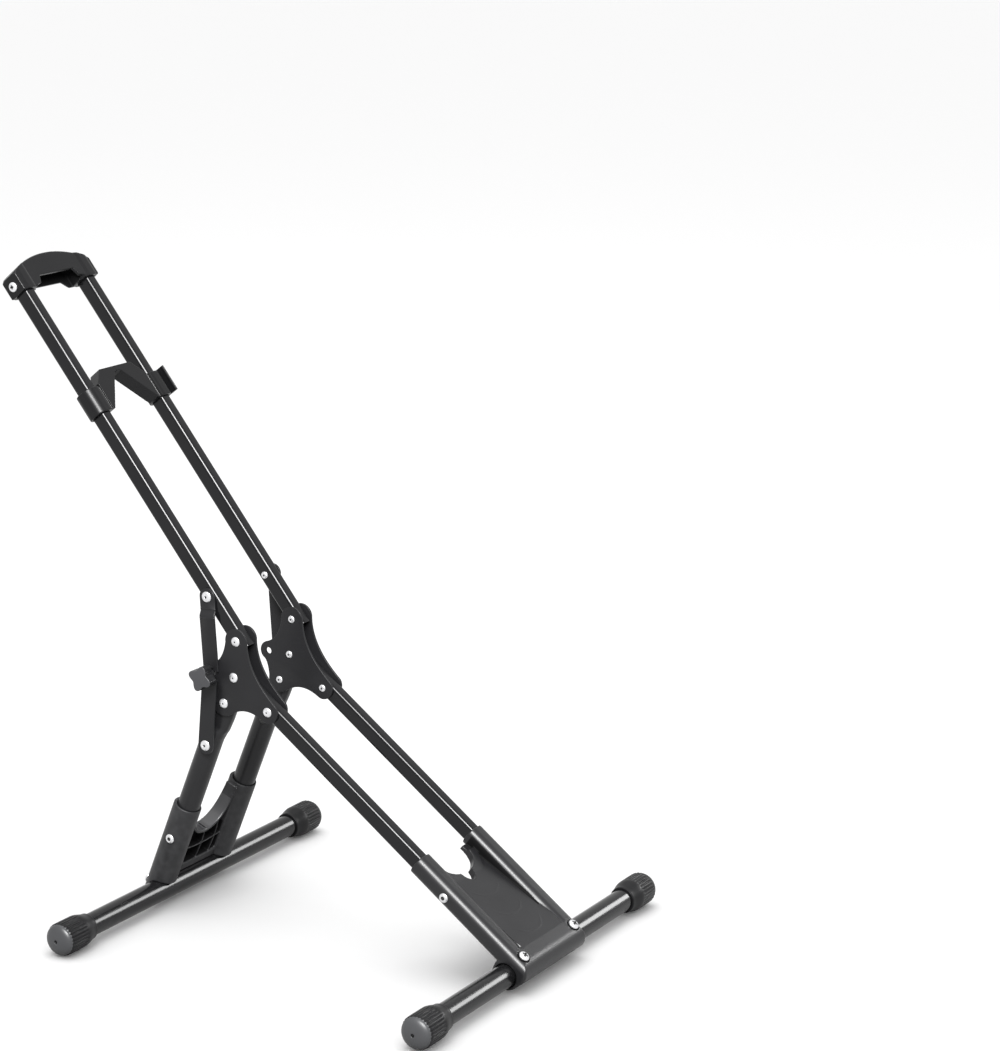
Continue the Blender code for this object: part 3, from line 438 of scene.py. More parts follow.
for side_name, side in SIDES:
    for depth, sign in (("outer", 1), ("inner", -1)):
        x0 = rail_x(side) + side * sign * PLATE_IN
        x1 = rail_x(side) + side * sign * PLATE_OUT
        node = f"gusset_{side_name}_{depth}"
        obj = obj_of(node + "_fine", prism(plate_outline(), min(x0, x1), max(x0, x1), bevel=0.45, segments=3), WORLD, [PLATE])
        hole = cutter(prism(circle(*EAR, 3.3, 40), min(x0, x1) - 3, max(x0, x1) + 3), WORLD)
        boolean(obj, [hole], "DIFFERENCE")
        smooth_shade(obj, 40)
        place(obj, node)


# ---------------------------------------------------------------- rivets
def dome(x_face, head, height, hole, depth):
    """Outer part of a domed head above x_face, from its rim to the axis."""
    out = [(x_face, head), (x_face + 0.35, head)]
    for i in range(1, 9):
        t = i / 9
        out.append((x_face + 0.35 + (height - 0.35) * math.sin(t * math.pi / 2), head - (head - hole - 0.25) * (1 - math.cos(t * math.pi / 2)) if False else head + (hole + 0.25 - head) * t ** 1.6))
    out += [(x_face + height, hole + 0.2), (x_face + height - 0.12, hole), (x_face + height - depth, hole * 0.86), (x_face + height - depth, 0.0)]
    return out


def rivet(node, yz, cx, x_in, x_out, side, head=HEAD_R, pin=PIN_R, hole=0.8, depth=0.7, back_hole=1.0, dark_back=False):
    back = [(-x, r) for x, r in dome(-x_in, 3.6, HEAD_H - 0.2, back_hole, 1.0)][::-1]
    front = dome(x_out, head, HEAD_H, hole, depth)
    profile = back + [(x_in, pin), (x_out, pin)] + front
    mats = []
    n_back, n_front = len(back), len(front)
    # Painted shade: faces inside the holes get the dark recess material; dark_back gives it to the whole back head as
    # well.
    for j in range(len(profile) - 1):
        inside = j < 2 or j >= len(profile) - 3 or (dark_back and j < n_back + 1)
        mats.append(1 if inside else 0)
    bm = lathe(profile, 40, mats)
    local = Matrix.Translation((cx, yz[0], yz[1])) @ Matrix.Diagonal((side, 1, 1, 1))
    obj = obj_of(node + "_fine", bm, local, [ZINC, RECESS_SHADE])
    smooth_shade(obj, 45)
    place(obj, node)


for side_name, side in SIDES:
    for label, yz in (("pivot_upper", PIVOT_UP), ("fixed_upper", FIX_TOP), ("pivot_leg", PIVOT_LEG), ("fixed_lower", FIX_LOW)):
        rivet(f"rivet_{label}_{side_name}", yz, rail_x(side), -PLATE_OUT - 0.05, PLATE_OUT + 0.05, side)
    rivet(f"rivet_strap_top_{side_name}", STRAP_TOP, rail_x(side), -RAIL_W / 2 - 0.05, PLATE_OUT + 0.05, side, head=5.2, hole=1.2)
    rivet(f"rivet_strap_low_{side_name}", STRAP_LOW, rail_x(side), -TUBE_R - 0.1, STRAP_B + STRAP_T + 0.05, side, head=5.2, hole=1.2, dark_back=True)
    rivet(f"rivet_shoe_{side_name}", SHOE_RIVET, rail_x(side), RAIL_W / 2 - RAIL_WALL - 0.15, ARM_HALF + 0.05, side, head=4.6, hole=1.9, depth=1.2)
    rivet(f"rivet_socket_{side_name}", SOCKET_RIVET, rail_x(side), TUBE_R - TUBE_WALL - 1.5, SOCKET_R + 0.1, side, head=4.6, hole=1.9, depth=1.2)


# ---------------------------------------------------------------- screws
def screw(node, local, head_r, head_h, shank_r, length, size=0.55):
    profile = [(-length, 0.0), (-length, shank_r * 0.7), (-length + 1.2, shank_r), (0.0, shank_r), (0.0, head_r - 0.2), (0.2, head_r), (0.7, head_r)]
    for i in range(1, 9):
        t = i / 8
        profile.append((0.7 + (head_h - 0.7) * math.sin(t * math.pi / 2), head_r * (1 - 0.72 * (1 - math.cos(t * math.pi / 2)))))
    profile.append((head_h, 0.0))
    obj = obj_of(node + "_fine", lathe(profile, 40), local, [ZINC, RECESS_SHADE])
    cuts = []
    for turn in (0, 90):
        h = head_r * size
        w = head_r * 0.17
        slot = prism([(-h, -w), (h, -w), (h, w), (-h, w)], head_h - 1.5, head_h + 2, "xs")
        # local frame of the slot: (x, s, n) with n along the screw
        turned = Matrix(((0, 0, 1, 0), (1, 0, 0, 0), (0, 1, 0, 0), (0, 0, 0, 1)))
        c = cutter(slot, local @ Matrix.Rotation(math.radians(turn + 20), 4, "X") @ turned)
        c.data.materials.append(ZINC)
        # Painted shade: the cross recess faces carry the dark recess material into the head.
        c.data.materials.append(RECESS_SHADE)
        for f in c.data.polygons:
            f.material_index = 1
        cuts.append(c)
    boolean(obj, cuts, "DIFFERENCE")
    smooth_shade(obj, 45)
    place(obj, node)


low_n = (LOW.to_3x3() @ Vector((0, 0, 1))).normalized()
leg_n = (LEG.to_3x3() @ Vector((0, 0, 1))).normalized()
for side_name, side in SIDES:
    at = LOW @ Vector((rail_x(side), TUBE_S, ARM_TOP + 0.1))
    screw(f"front_screw_{side_name}", axis_frame(at, low_n), 5.2, 3.2, 2.2, 15.5)
    at = LEG @ Vector((rail_x(side), LEG_LEN, SOCKET_N + SOCKET_R + 0.1))
    screw(f"rear_screw_{side_name}", axis_frame(at, leg_n), 4.9, 2.8, 2.2, 15.0)
    at = (side * (HANDLE_HALF + 0.1), *HANDLE_SCREW)
    screw(f"handle_screw_{side_name}", axis_frame(at, (side, 0, 0)), 4.7, 2.4, 1.9, 12.0, 0.42)


# ---------------------------------------------------------------- foot tubes
def foot_tube(node, yz):
    half = FOOT_LEN / 2
    profile = [(-half, TUBE_R - TUBE_WALL), (-half, TUBE_R - 0.3), (-half + 0.3, TUBE_R)]
    profile += [(-half + 0.3 + (FOOT_LEN - 0.6) * i / 24, TUBE_R) for i in range(1, 24)]
    profile += [(half - 0.3, TUBE_R), (half, TUBE_R - 0.3), (half, TUBE_R - TUBE_WALL)]
    bm = lathe(profile + [profile[0]], 96)
    bmesh.ops.remove_doubles(bm, verts=bm.verts, dist=1e-4)
    obj = obj_of(node + "_fine", bm, Matrix.Translation((0, *yz)), [TUBE])
    smooth_shade(obj, 35)
    place(obj, node)


foot_tube("front_tube", FRONT_TUBE)
foot_tube("rear_tube", REAR_TUBE)


# ---------------------------------------------------------------- rubber feet
def cap(node, yz, side):
    """Smooth neck swelling to a ribbed barrel; lighter domed end face with a dimple."""
    ribs, per = 28, 8
    count = ribs * per
    bore = TUBE_R + 0.15
    rows = [(CAP_NECK, bore, 0.0), (CAP_NECK, TUBE_R + 1.6, 0.0), (CAP_NECK + 0.5, TUBE_R + 2.0, 0.0)]
    for i in range(1, 13):
        t = i / 12
        ease = t * t * (3 - 2 * t)
        rows.append((CAP_NECK + 0.5 + 15.5 * t, TUBE_R + 2.0 + (CAP_R - TUBE_R - 2.0 - 0.05) * ease, 0.0))
    for i in range(1, 6):
        rows.append((CAP_NECK + 16.0 + 3.0 * i / 5, CAP_R - 0.05, 0.9 * i / 5))
    rows += [(CAP_NECK + 28.0, CAP_R, 0.95), (205.6, CAP_R, 0.95), (206.8, CAP_R - 0.25, 0.85), (207.6, CAP_R - 0.8, 0.6)]
    face_from = len(rows) - 1
    dome_r = CAP_R - 1.1
    for i in range(0, 11):
        t = i / 10
        r = dome_r * math.cos(t * math.pi / 2 * 0.93)
        rows.append((207.9 + (CAP_TIP - 207.9) * math.sin(t * math.pi / 2 * 0.93) / math.sin(math.pi / 2 * 0.93), max(r, 2.2), 0.0 if i else 0.35))
    last = rows[-1]
    rows += [(CAP_TIP - 0.15, 1.75, 0.0), (CAP_TIP - 0.9, 1.45, 0.0), (CAP_TIP - 0.9, 0.85, 0.0), (CAP_TIP - 0.35, 0.6, 0.0), (CAP_TIP - 0.35, 0.0, 0.0)]
    bm = bmesh.new()
    rings = []
    for x, r, depth in rows:
        if r < 1e-6:
            rings.append([bm.verts.new((x, 0, 0))])
            continue
        ring = []
        for i in range(count):
            a = -math.pi / 2 + 2 * math.pi * (i + 0.5) / count
            phase = (i % per) / per
            groove = max(0.0, math.cos(2 * math.pi * (phase - 0.44))) ** 1.5
            rr = r - depth * groove
            ring.append(bm.verts.new((x, rr * math.cos(a), rr * math.sin(a))))
        rings.append(ring)
    back = [[bm.verts.new((FOOT_LEN / 2 + 1.0, 0, 0))], []]
    for i in range(count):
        a = -math.pi / 2 + 2 * math.pi * (i + 0.5) / count
        back[1].append(bm.verts.new((FOOT_LEN / 2 + 1.0, bore * math.cos(a), bore * math.sin(a))))
    order = back + rings
    for j, (a, b) in enumerate(zip(order, order[1:])):
        for i in range(count):
            k = (i + 1) % count
            if len(a) == 1:
                f = bm.faces.new((a[0], b[k], b[i]))
            elif len(b) == 1:
                f = bm.faces.new((a[i], a[k], b[0]))
            else:
                f = bm.faces.new((a[i], a[k], b[k], b[i]))
            if j - 2 >= face_from and j - 2 < len(rows) - 5:
                f.material_index = 1
            elif j - 2 >= len(rows) - 5:
                f.material_index = 2
    local = Matrix.Translation((0, *yz)) @ Matrix.Diagonal((side, 1, 1, 1))
    obj = obj_of(node + "_fine", bm, local, [RUBBER, CAP_FACE, RUBBER])
    smooth_shade(obj, 50)
    place(obj, node)


for side_name, side in SIDES:
    cap(f"cap_front_{side_name}", FRONT_TUBE, side)
    cap(f"cap_rear_{side_name}", REAR_TUBE, side)


# ---------------------------------------------------------------- front shoe
def shoe_side_outline():
    pts = [(-324.0, ARM_TOP)]
    pts += arc(SHOE_FRONT + 14.5, ARM_TOP - 14.5, 14.5, 90, 180, 14)
    pts += arc(TUBE_S, TUBE_N, 14.6, 190, 350, 24)
    pts += [(-316.6, ARM_BOT)]
    return pts


def notch_outline(grow=0.0, top=-180.0):
    """U for the tyre: wide above, a narrow lobe at its bottom."""
    half = [(27.5, top), (27.5, -209.0)] + bend((27.5, -209.0), (26.5, -221.5), (19.0, -226.3), 8) + [(19.0, -226.3)]
    half += bend((19.0, -226.3), (13.5, -229.8), (9.6, -230.2), 6) + [(9.6, -230.2)]
    half += bend((9.6, -230.2), (6.9, -240.6), (0.0, -241.6), 8) + [(0.0, -241.6)]
    pts = [(x + grow * min(1.0, x / 9.0), s - (grow if s < -200 else 0)) for x, s in half]
    left = [(-x, s) for x, s in pts[:-1]]
    return left + pts[::-1]


def build_front_shoe():
    obj = obj_of("front_shoe_fine", prism(shoe_side_outline(), -57.12, 57.12, bevel=2.6, segments=5), LOW, [MOULD])
    parts = []
    for _, side in SIDES:
        section = rounded_rect(ARM_HALF, (ARM_TOP - ARM_BOT) / 2, 8.4, 16, rail_x(side), (ARM_TOP + ARM_BOT) / 2)
        parts.append(cutter(prism(section, ARM_END, -336.0, "xn", bevel=0.8), LOW))
    web = [(-206.0, -5.4), (-324.4, 9.76), (-328.0, 4.0), (-318.0, -2.0), (-296.0, -4.6), (-206.0, -9.4)]
    parts.append(cutter(prism(web, -37.0, 37.0), LOW))
    boolean(obj, parts, "UNION")
    # A lip round the notch, standing a little above the web.
    lip = cutter(prism(notch_outline(7.0, -206.5), -9.0, -1.5, "xs"), LOW)
    boolean(obj, [lip], "UNION")
    cuts = [cutter(prism(notch_outline(0.0, -180.0), -40, 40, "xs"), LOW)]
    for _, side in SIDES:
        corner = [(side * 60.0, ARM_TOP + 3.0), (side * 60.0, ARM_TOP - 8.4)]
        corner += [(side * (48.8 + 8.4 * math.cos(math.radians(a))), ARM_TOP - 8.4 + 8.4 * math.sin(math.radians(a))) for a in range(0, 91, 6)]
        corner += [(side * 48.8, ARM_TOP + 3.0)]
        cuts.append(cutter(prism(corner, -316.0, -356.0, "xn"), LOW))
        hole = rounded_rect(RAIL_W / 2 + GAP, RAIL_H / 2 + GAP, RAIL_CORNER + GAP, 8, rail_x(side))
        cuts.append(cutter(prism(hole, ARM_END + 5, RAIL_LOW_START - 1.0, "xn"), LOW))
        cuts.append(cutter(prism(circle(rail_x(side), TUBE_S, 6.3, 40), ARM_TOP - 0.7, ARM_TOP + 8, "xs"), LOW))
    cuts.append(cutter(prism(circle(*FRONT_TUBE, TUBE_R + 0.9, 72), -70, 70), WORLD))
    cuts.append(cutter(prism([(-309, -3.2), (-309, -30), (-262, -30), (-262, -4.8)], -31, 31), LOW))
    boolean(obj, cuts, "DIFFERENCE")
    soften(obj, 0.62, 3)
    obj.data.materials.clear()
    obj.data.materials.append(MOULD)
    # Shallow raised bows across the web, in its surface.
    inv = (TO_M @ LOW).inverted()
    for v in obj.data.vertices:
        p = inv @ v.co
        x, s, n = p
        if abs(x) > 31 or s > -246 or s < -322:
            continue
        top = -5.4 + (-206.0 - s) * 15.16 / 118.4
        if n < top - 1.2 or n > top + 1.5:
            continue
        for s0 in (-263.0, -291.0, -316.0):
            line = s0 + 9.0 * (abs(x) / 20.0) ** 2.6
            d = (s - line) / 1.1
            edge = 1.0 - min(1.0, max(0.0, (abs(x) - 17.0) / 6.0))
            if abs(d) < 3:
                p.z += 0.14 * math.exp(-d * d) * edge
        v.co = (TO_M @ LOW) @ p

    # Painted shade: the dark material goes round the screw heads, along the left arm's seam with the web and on the
    # right arm's inner wall above the web.
    def painted_shade_at(x, s, n, normal):
        if n > ARM_TOP - 1.2 and n < ARM_TOP + 1 and math.hypot(abs(x) - SPACING / 2, s - TUBE_S) < 6.7:
            return True
        top = -5.4 + (-206.0 - s) * 15.16 / 118.4
        rise = min(8.39, max(0.0, top - ARM_TOP + 8.4))
        seam = 34.8 + 8.4 - math.sqrt(8.4 * 8.4 - rise * rise)
        if x < 0:
            return -323 < s < -206 and abs(abs(x) - seam) < 0.9 and abs(n - top) < 1.1
        return -321 < s < -206 and 33.6 < x < seam + 1.0 and top - 0.7 < n < ARM_TOP - 3.6

    paint_light(obj, LOW, painted_shade_at)
    place(obj, "front_shoe")


build_front_shoe()


# ---------------------------------------------------------------- handle
def handle_outline(inset=0.0):
    half, rise = HANDLE_HALF - inset, HANDLE_TOP - HANDLE_SIDE
    chord = half - 3.0
    radius = (chord * chord + rise * rise) / (2 * rise)
    span = math.degrees(math.asin(chord / radius))
    top = arc(0, HANDLE_TOP - inset - radius, radius, 90 - span, 90 + span, 40)
    return [(half, HANDLE_LO + inset), (half, HANDLE_SIDE - 2.6)] + top + [(-half, HANDLE_SIDE - 2.6), (-half, HANDLE_LO + inset)]


def above_arch():
    """Region over the handle's arched top, carried on past its ends."""
    rise = HANDLE_TOP - HANDLE_SIDE
    chord = HANDLE_HALF - 3.0
    radius = (chord * chord + rise * rise) / (2 * rise)
    span = math.degrees(math.asin((HANDLE_HALF + 3.0) / radius))
    top = arc(0, HANDLE_TOP - radius, radius, 90 - span, 90 + span, 48)
    return [(HANDLE_HALF + 3.0, 440.0)] + top + [(-HANDLE_HALF - 3.0, 440.0)]


def build_handle():
    obj = obj_of("handle_fine", prism(handle_outline(0.12), HANDLE_BACK + 0.6, HANDLE_FRONT - 0.9, "xs", bevel=1.4, segments=3), UP, [MOULD])
    ends = []
    for _, side in SIDES:
        lo, hi = sorted((side * HANDLE_HALF, side * 35.2))
        sleeve = cutter(prism(rounded_rect((hi - lo) / 2, (HANDLE_FRONT - HANDLE_BACK) / 2, 7.6, 16, (lo + hi) / 2, (HANDLE_FRONT + HANDLE_BACK) / 2), HANDLE_LO, 430.0, "xn"), UP)
        trim = cutter(prism(above_arch(), -20, 20, "xs"), UP)
        boolean(sleeve, [trim], "DIFFERENCE")
        ends.append(sleeve)
    boolean(obj, ends, "UNION")
    cuts = []
    cavity = [(33.0, HANDLE_LO - 5), (33.0, 402.0), (26.0, 411.0), (-26.0, 411.0), (-33.0, 402.0), (-33.0, HANDLE_LO - 5)]
    cuts.append(cutter(prism(cavity, HANDLE_BACK + 3.0, HANDLE_FRONT - 4.2, "xs"), UP))
    front = [(40.0, HANDLE_LO - 5), (34.5, HANDLE_LO + 2.0), (29.0, HANDLE_LO + 3.2), (25.0, 399.6), (-25.0, 399.6), (-29.0, HANDLE_LO + 3.2), (-34.5, HANDLE_LO + 2.0), (-40.0, HANDLE_LO - 5)]
    cuts.append(cutter(prism(front, 4.0, 20.0, "xs"), UP))
    back = [(33.0, HANDLE_LO - 5), (29.0, HANDLE_LO + 0.5), (22.0, 396.0), (-22.0, 396.0), (-29.0, HANDLE_LO + 0.5), (-33.0, HANDLE_LO - 5)]
    cuts.append(cutter(prism(back, -20.0, -4.0, "xs"), UP))
    for _, side in SIDES:
        hole = rounded_rect(RAIL_W / 2 + GAP, RAIL_H / 2 + GAP, RAIL_CORNER + GAP, 8, rail_x(side))
        cuts.append(cutter(prism(hole, HANDLE_LO - 5, RAIL_UP_END + 0.6, "xn"), UP))
        inner, outer = rail_x(side) - side * 1, rail_x(side) + side * 14
        cuts.append(cutter(prism(circle(*HANDLE_SCREW, 2.4, 32), min(inner, outer), max(inner, outer)), WORLD))
    boolean(obj, cuts, "DIFFERENCE")
    soften(obj, 0.55, 3)
    obj.data.materials.clear()
    obj.data.materials.append(GRIP)
    # Painted shade: the faces inside the handle's cavity get the dark material.
    paint_light(obj, UP, lambda x, s, n, normal: abs(x) < 33.6 and s < 411.6 and HANDLE_BACK + 2.6 < n < HANDLE_FRONT - 4.4 and s > HANDLE_LO + 1.0)
    place(obj, "handle")


build_handle()


# ---------------------------------------------------------------- tyre rest, lever
def build_rest():
    outer = [(-36.0, COLLAR_LO + 0.6), (-36.0, COLLAR_HI + 2.0), (-23.5, REST_TOP)]
    apex = [(-5.0, 285.8), (-2.6, 286.8), (0.0, 287.2), (2.6, 286.8), (5.0, 285.8)]
    outline = outer + [(-x, s) for x, s in reversed(outer)] + [(33.5, COLLAR_LO + 0.6)] + apex[::-1] + [(-33.5, COLLAR_LO + 0.6)]
    obj = obj_of("tyre_rest_fine", prism(outline, REST_BACK, REST_FRONT, "xs"), UP, [MOULD])
    parts = []
    for _, side in SIDES:
        section = rounded_rect(ARM_HALF, 10.9, 8.8, 16, rail_x(side), 0.3)
        parts.append(cutter(prism(section, COLLAR_LO, COLLAR_HI, "xn", bevel=0.8), UP))
    for s0 in (COLLAR_LO + 2.0, COLLAR_HI - 6.0):
        lug = [(55.0, -9.0), (62.4, -9.0), (62.4, -2.6), (55.0, -2.6)]
        parts.append(cutter(prism(lug, s0, s0 + 4.0, "xn"), UP))
    boolean(obj, parts, "UNION")
    cuts = []
    for _, side in SIDES:
        hole = rounded_rect(RAIL_W / 2 + GAP, RAIL_H / 2 + GAP, RAIL_CORNER + GAP, 8, rail_x(side))
        cuts.append(cutter(prism(hole, COLLAR_LO - 4, COLLAR_HI + 4, "xn"), UP))
    cuts.append(cutter(prism(circle(PIN_X, PIN_N, 1.5, 24), COLLAR_LO, COLLAR_HI + 4, "xn"), UP))
    boolean(obj, cuts, "DIFFERENCE")
    soften(obj, 0.5, 2)
    obj.data.materials.clear()
    obj.data.materials.append(GRIP)
    # Painted shade: the right collar's outer face beside the lever, and the creases where both collars meet the front
    # face, get the dark material.
    paint_light(obj, UP, lambda x, s, n, normal: x > 56.4 and -3.0 < n < 10.0 and normal.x > 0.4 and COLLAR_LO + 1 < s < COLLAR_HI - 0.6)
    paint_light(obj, UP, lambda x, s, n, normal: abs(abs(x) - 38.4) < 0.9 and abs(n - REST_FRONT) < 1.2 and COLLAR_LO < s < COLLAR_HI)
    place(obj, "tyre_rest")


build_rest()
pin = obj_of("lever_pin_fine", prism(circle(PIN_X, PIN_N, 1.2, 32), COLLAR_LO + 1.2, COLLAR_HI - 1.2, "xn", bevel=0.3, segments=2), UP, [ZINC])
smooth_shade(pin, 40)
place(pin, "lever_pin")


def build_lever():
    s0, s1 = COLLAR_LO + 6.4, COLLAR_HI - 6.4
    obj = obj_of("clamp_lever_fine", prism(circle(PIN_X, PIN_N, 2.5, 32), s0, s1, "xn"), UP, [MOULD])
    grip = [(58.3, -5.0), (61.4, -5.0), (62.0, 4.0), (62.9, 9.5), (62.7, 12.2), (61.2, 12.9), (60.4, 11.5), (60.2, 9.0), (59.2, 4.0)]
    neck = cutter(prism(grip, s0, s1, "xn"), UP)
    wide = [(58.3, -1.3), (60.9, -1.3), (62.0, 4.0), (62.9, 9.5), (62.7, 12.2), (61.2, 12.9), (60.4, 11.5), (60.2, 9.0), (59.2, 4.0)]
    pad = cutter(prism(wide, COLLAR_LO + 1.5, COLLAR_HI + 2.5, "xn"), UP)
    boolean(obj, [neck, pad], "UNION")
    boolean(obj, [cutter(prism(circle(PIN_X, PIN_N, 1.5, 24), s0 - 3, s1 + 3, "xn"), UP)], "DIFFERENCE")
    soften(obj, 0.3, 2)
    obj.data.materials.clear()
    obj.data.materials.append(GRIP)
    place(obj, "clamp_lever")


build_lever()


# ---------------------------------------------------------------- straps, knobs, bolts
def strap(node, side, pin, far, in_pin, in_far, bend_at, notch):
    cx = rail_x(side)
    length = math.hypot(far[0] - pin[0], far[1] - pin[1])
    angle = math.degrees(math.atan2(far[1] - pin[1], far[0] - pin[0]))
    local = side_frame(pin, angle)
    half = STRAP_W / 2
    rows = []
    steps = 18
    for i in range(steps + 1):
        a = math.radians(90 * i / steps)
        rows.append((-half * math.cos(a), half * math.sin(a), in_pin))
    if in_pin != in_far:
        for t, e in ((0.0, 0.0), (0.12, 0.03), (0.25, 0.16), (0.5, 0.5), (0.75, 0.84), (0.88, 0.97), (1.0, 1.0)):
            if t == 0.0:
                rows += [(bend_at - 2.0, half, in_pin), (bend_at - 1.5, half, in_pin + 0.35), (bend_at - 1.0, half, in_pin + 0.05)]
            rows.append((bend_at - 0.6 + 6.2 * t, half, in_pin + (in_far - in_pin) * e))
            if t == 1.0:
                rows += [(bend_at + 6.1, half, in_far + 0.05), (bend_at + 6.6, half, in_far + 0.35), (bend_at + 7.1, half, in_far)]
    for i in range(steps + 1):
        a = math.radians(90 - 90 * i / steps)
        rows.append((length + half * math.cos(a), half * math.sin(a), in_far))
    rows = [(s, max(w, 0.6), off) for s, w, off in rows]
    e = 0.4
    loops = []
    for s, w, off in rows:
        ring = [(off, -w + e), (off, w - e), (off + e, w), (off + STRAP_T - e, w), (off + STRAP_T, w - e), (off + STRAP_T, -w + e), (off + STRAP_T - e, -w), (off + e, -w)]
        if w < e * 1.6:
            ring = [(o, v * 0.5) for o, v in ring]
        loops.append([(cx + side * o, s, v) for o, v in ring])
    obj = obj_of(node + "_fine", loft(loops), local, [PLATE])
    a0, a1 = notch
    reach = 16.0
    wedge = arc(far[0], far[1], 3.6, a1 + 90, a0 + 270, 20)
    wedge += [
        (far[0] + reach * math.cos(math.radians(a0)) + 3.6 * math.cos(math.radians(a0 - 90)), far[1] + reach * math.sin(math.radians(a0)) + 3.6 * math.sin(math.radians(a0 - 90))),
        (far[0] + reach * math.cos(math.radians(a1)) + 3.6 * math.cos(math.radians(a1 + 90)), far[1] + reach * math.sin(math.radians(a1)) + 3.6 * math.sin(math.radians(a1 + 90))),
    ]
    boolean(obj, [cutter(prism(wedge, cx - 20, cx + 20), WORLD)], "DIFFERENCE")
    smooth_shade(obj, 40)
    place(obj, node)


def knob_outline(count=144):
    pts = []
    for i in range(count):
        a = 2 * math.pi * i / count
        r = 10.6 + 2.2 * math.cos(4 * (a - math.radians(18)))
        pts.append((EAR[0] + r * math.cos(a), EAR[1] + r * math.sin(a)))
    return pts


KNOB_IN = STRAP_B + STRAP_T + GAP
for side_name, side in SIDES:
    cx = rail_x(side)
    strap(f"strap_upper_{side_name}", side, STRAP_TOP, EAR, PLATE_IN, STRAP_A, 13.0, (180, 250))
    strap(f"strap_lower_{side_name}", side, STRAP_LOW, EAR, STRAP_B, STRAP_B, 0.0, (140, 185))
    hub_in, hub_out, grip_out = KNOB_IN, KNOB_IN + 5.0, KNOB_IN + 16.0
    x0, x1 = cx + side * hub_out, cx + side * grip_out
    grip = obj_of(f"knob_{side_name}_fine", prism(knob_outline(), min(x0, x1), max(x0, x1)), WORLD, [KNOB])
    h0, h1 = cx + side * hub_in, cx + side * (hub_out + 1)
    boolean(grip, [cutter(prism(circle(*EAR, 7.2, 48), min(h0, h1), max(h0, h1)), WORLD)], "UNION")
    b0, b1 = cx + side * (hub_in - 2), cx + side * (grip_out - 3.6)
    boolean(grip, [cutter(prism(circle(*EAR, 3.3, 32), min(b0, b1), max(b0, b1)), WORLD)], "DIFFERENCE")
    soften(grip, 0.4, 6)
    grip.data.materials.clear()
    grip.data.materials.append(KNOB)
    grip.data.materials.append(MOULD)
    # Painted shade: every face that doesn't face outward, all but the knob's end face, gets the darker moulded plastic.
    for f in grip.data.polygons:
        if f.normal.x * side < 0.35:
            f.material_index = 1
    place(grip, f"knob_{side_name}")
    head_in, head_out = PLATE_IN - 3.4, PLATE_IN - 0.1
    profile = [(head_in, 0.0), (head_in, 3.6), (head_in + 0.3, 4.4), (head_in + 1.2, 5.2), (head_in + 1.7, 5.4), (head_out, 5.4), (head_out, 3.0), (grip_out - 4.6, 3.0), (grip_out - 4.0, 2.4), (grip_out - 4.0, 0.0)]
    bolt = obj_of(f"knob_bolt_{side_name}_fine", lathe(profile, 48), Matrix.Translation((cx, *EAR)) @ Matrix.Diagonal((side, 1, 1, 1)), [ZINC])
    smooth_shade(bolt, 40)
    place(bolt, f"knob_bolt_{side_name}")


# ---------------------------------------------------------------- legs, rear shoe
def leg(node, side):
    cx = rail_x(side)
    count = 96
    flat = RAIL_W / 2
    rows = [(-12.4, flat, 9.0, 0.0), (-9.0, flat, 11.4, 0.6), (16.0, flat, 12.4, 1.8), (27.0, flat + 0.1, 12.6, 2.8), (36.0, 9.8, 11.7, LEG_OFF - 0.4), (42.0, TUBE_R, TUBE_R, LEG_OFF), (SOCKET_TOP + 76.0, TUBE_R, TUBE_R, LEG_OFF)]

    def at(s):
        for (s0, *a), (s1, *b) in zip(rows, rows[1:]):
            if s <= s1:
                t = (s - s0) / (s1 - s0)
                if s0 in (27.0, 36.0):
                    t = t * t * (3 - 2 * t) if s0 == 27.0 else t
                return [p + (q - p) * t for p, q in zip(a, b)]
        return list(rows[-1][1:])

    stations = [-12.4, -11.4, -9.0, 0.0, 10.0, 16.0, 22.0] + [27.0 + 15.0 * i / 14 for i in range(15)] + [60.0, 100.0, 150.0, SOCKET_TOP + 76.0]
    outer, inner = [], []
    for s in stations:
        hx, hn, cn = at(s)
        blend = min(1.0, max(0.0, (hx - flat) / (TUBE_R - flat)))
        power = 3.2 - 1.2 * blend
        o, i = [], []
        for k in range(count):
            a = 2 * math.pi * (k + 0.5) / count
            c, d = math.cos(a), math.sin(a)
            e = 2.0 / power
            u = math.copysign(abs(c) ** e, c)
            v = math.copysign(abs(d) ** e, d)
            o.append((cx + hx * u, s, cn + hn * v))
            i.append((cx + (hx - TUBE_WALL) * u, s, cn + (hn - TUBE_WALL) * v))
        outer.append(o)
        inner.append(i)
    obj = obj_of(node + "_fine", loft(outer, inner), LEG, [SATIN])
    smooth_shade(obj, 40)
    place(obj, node)


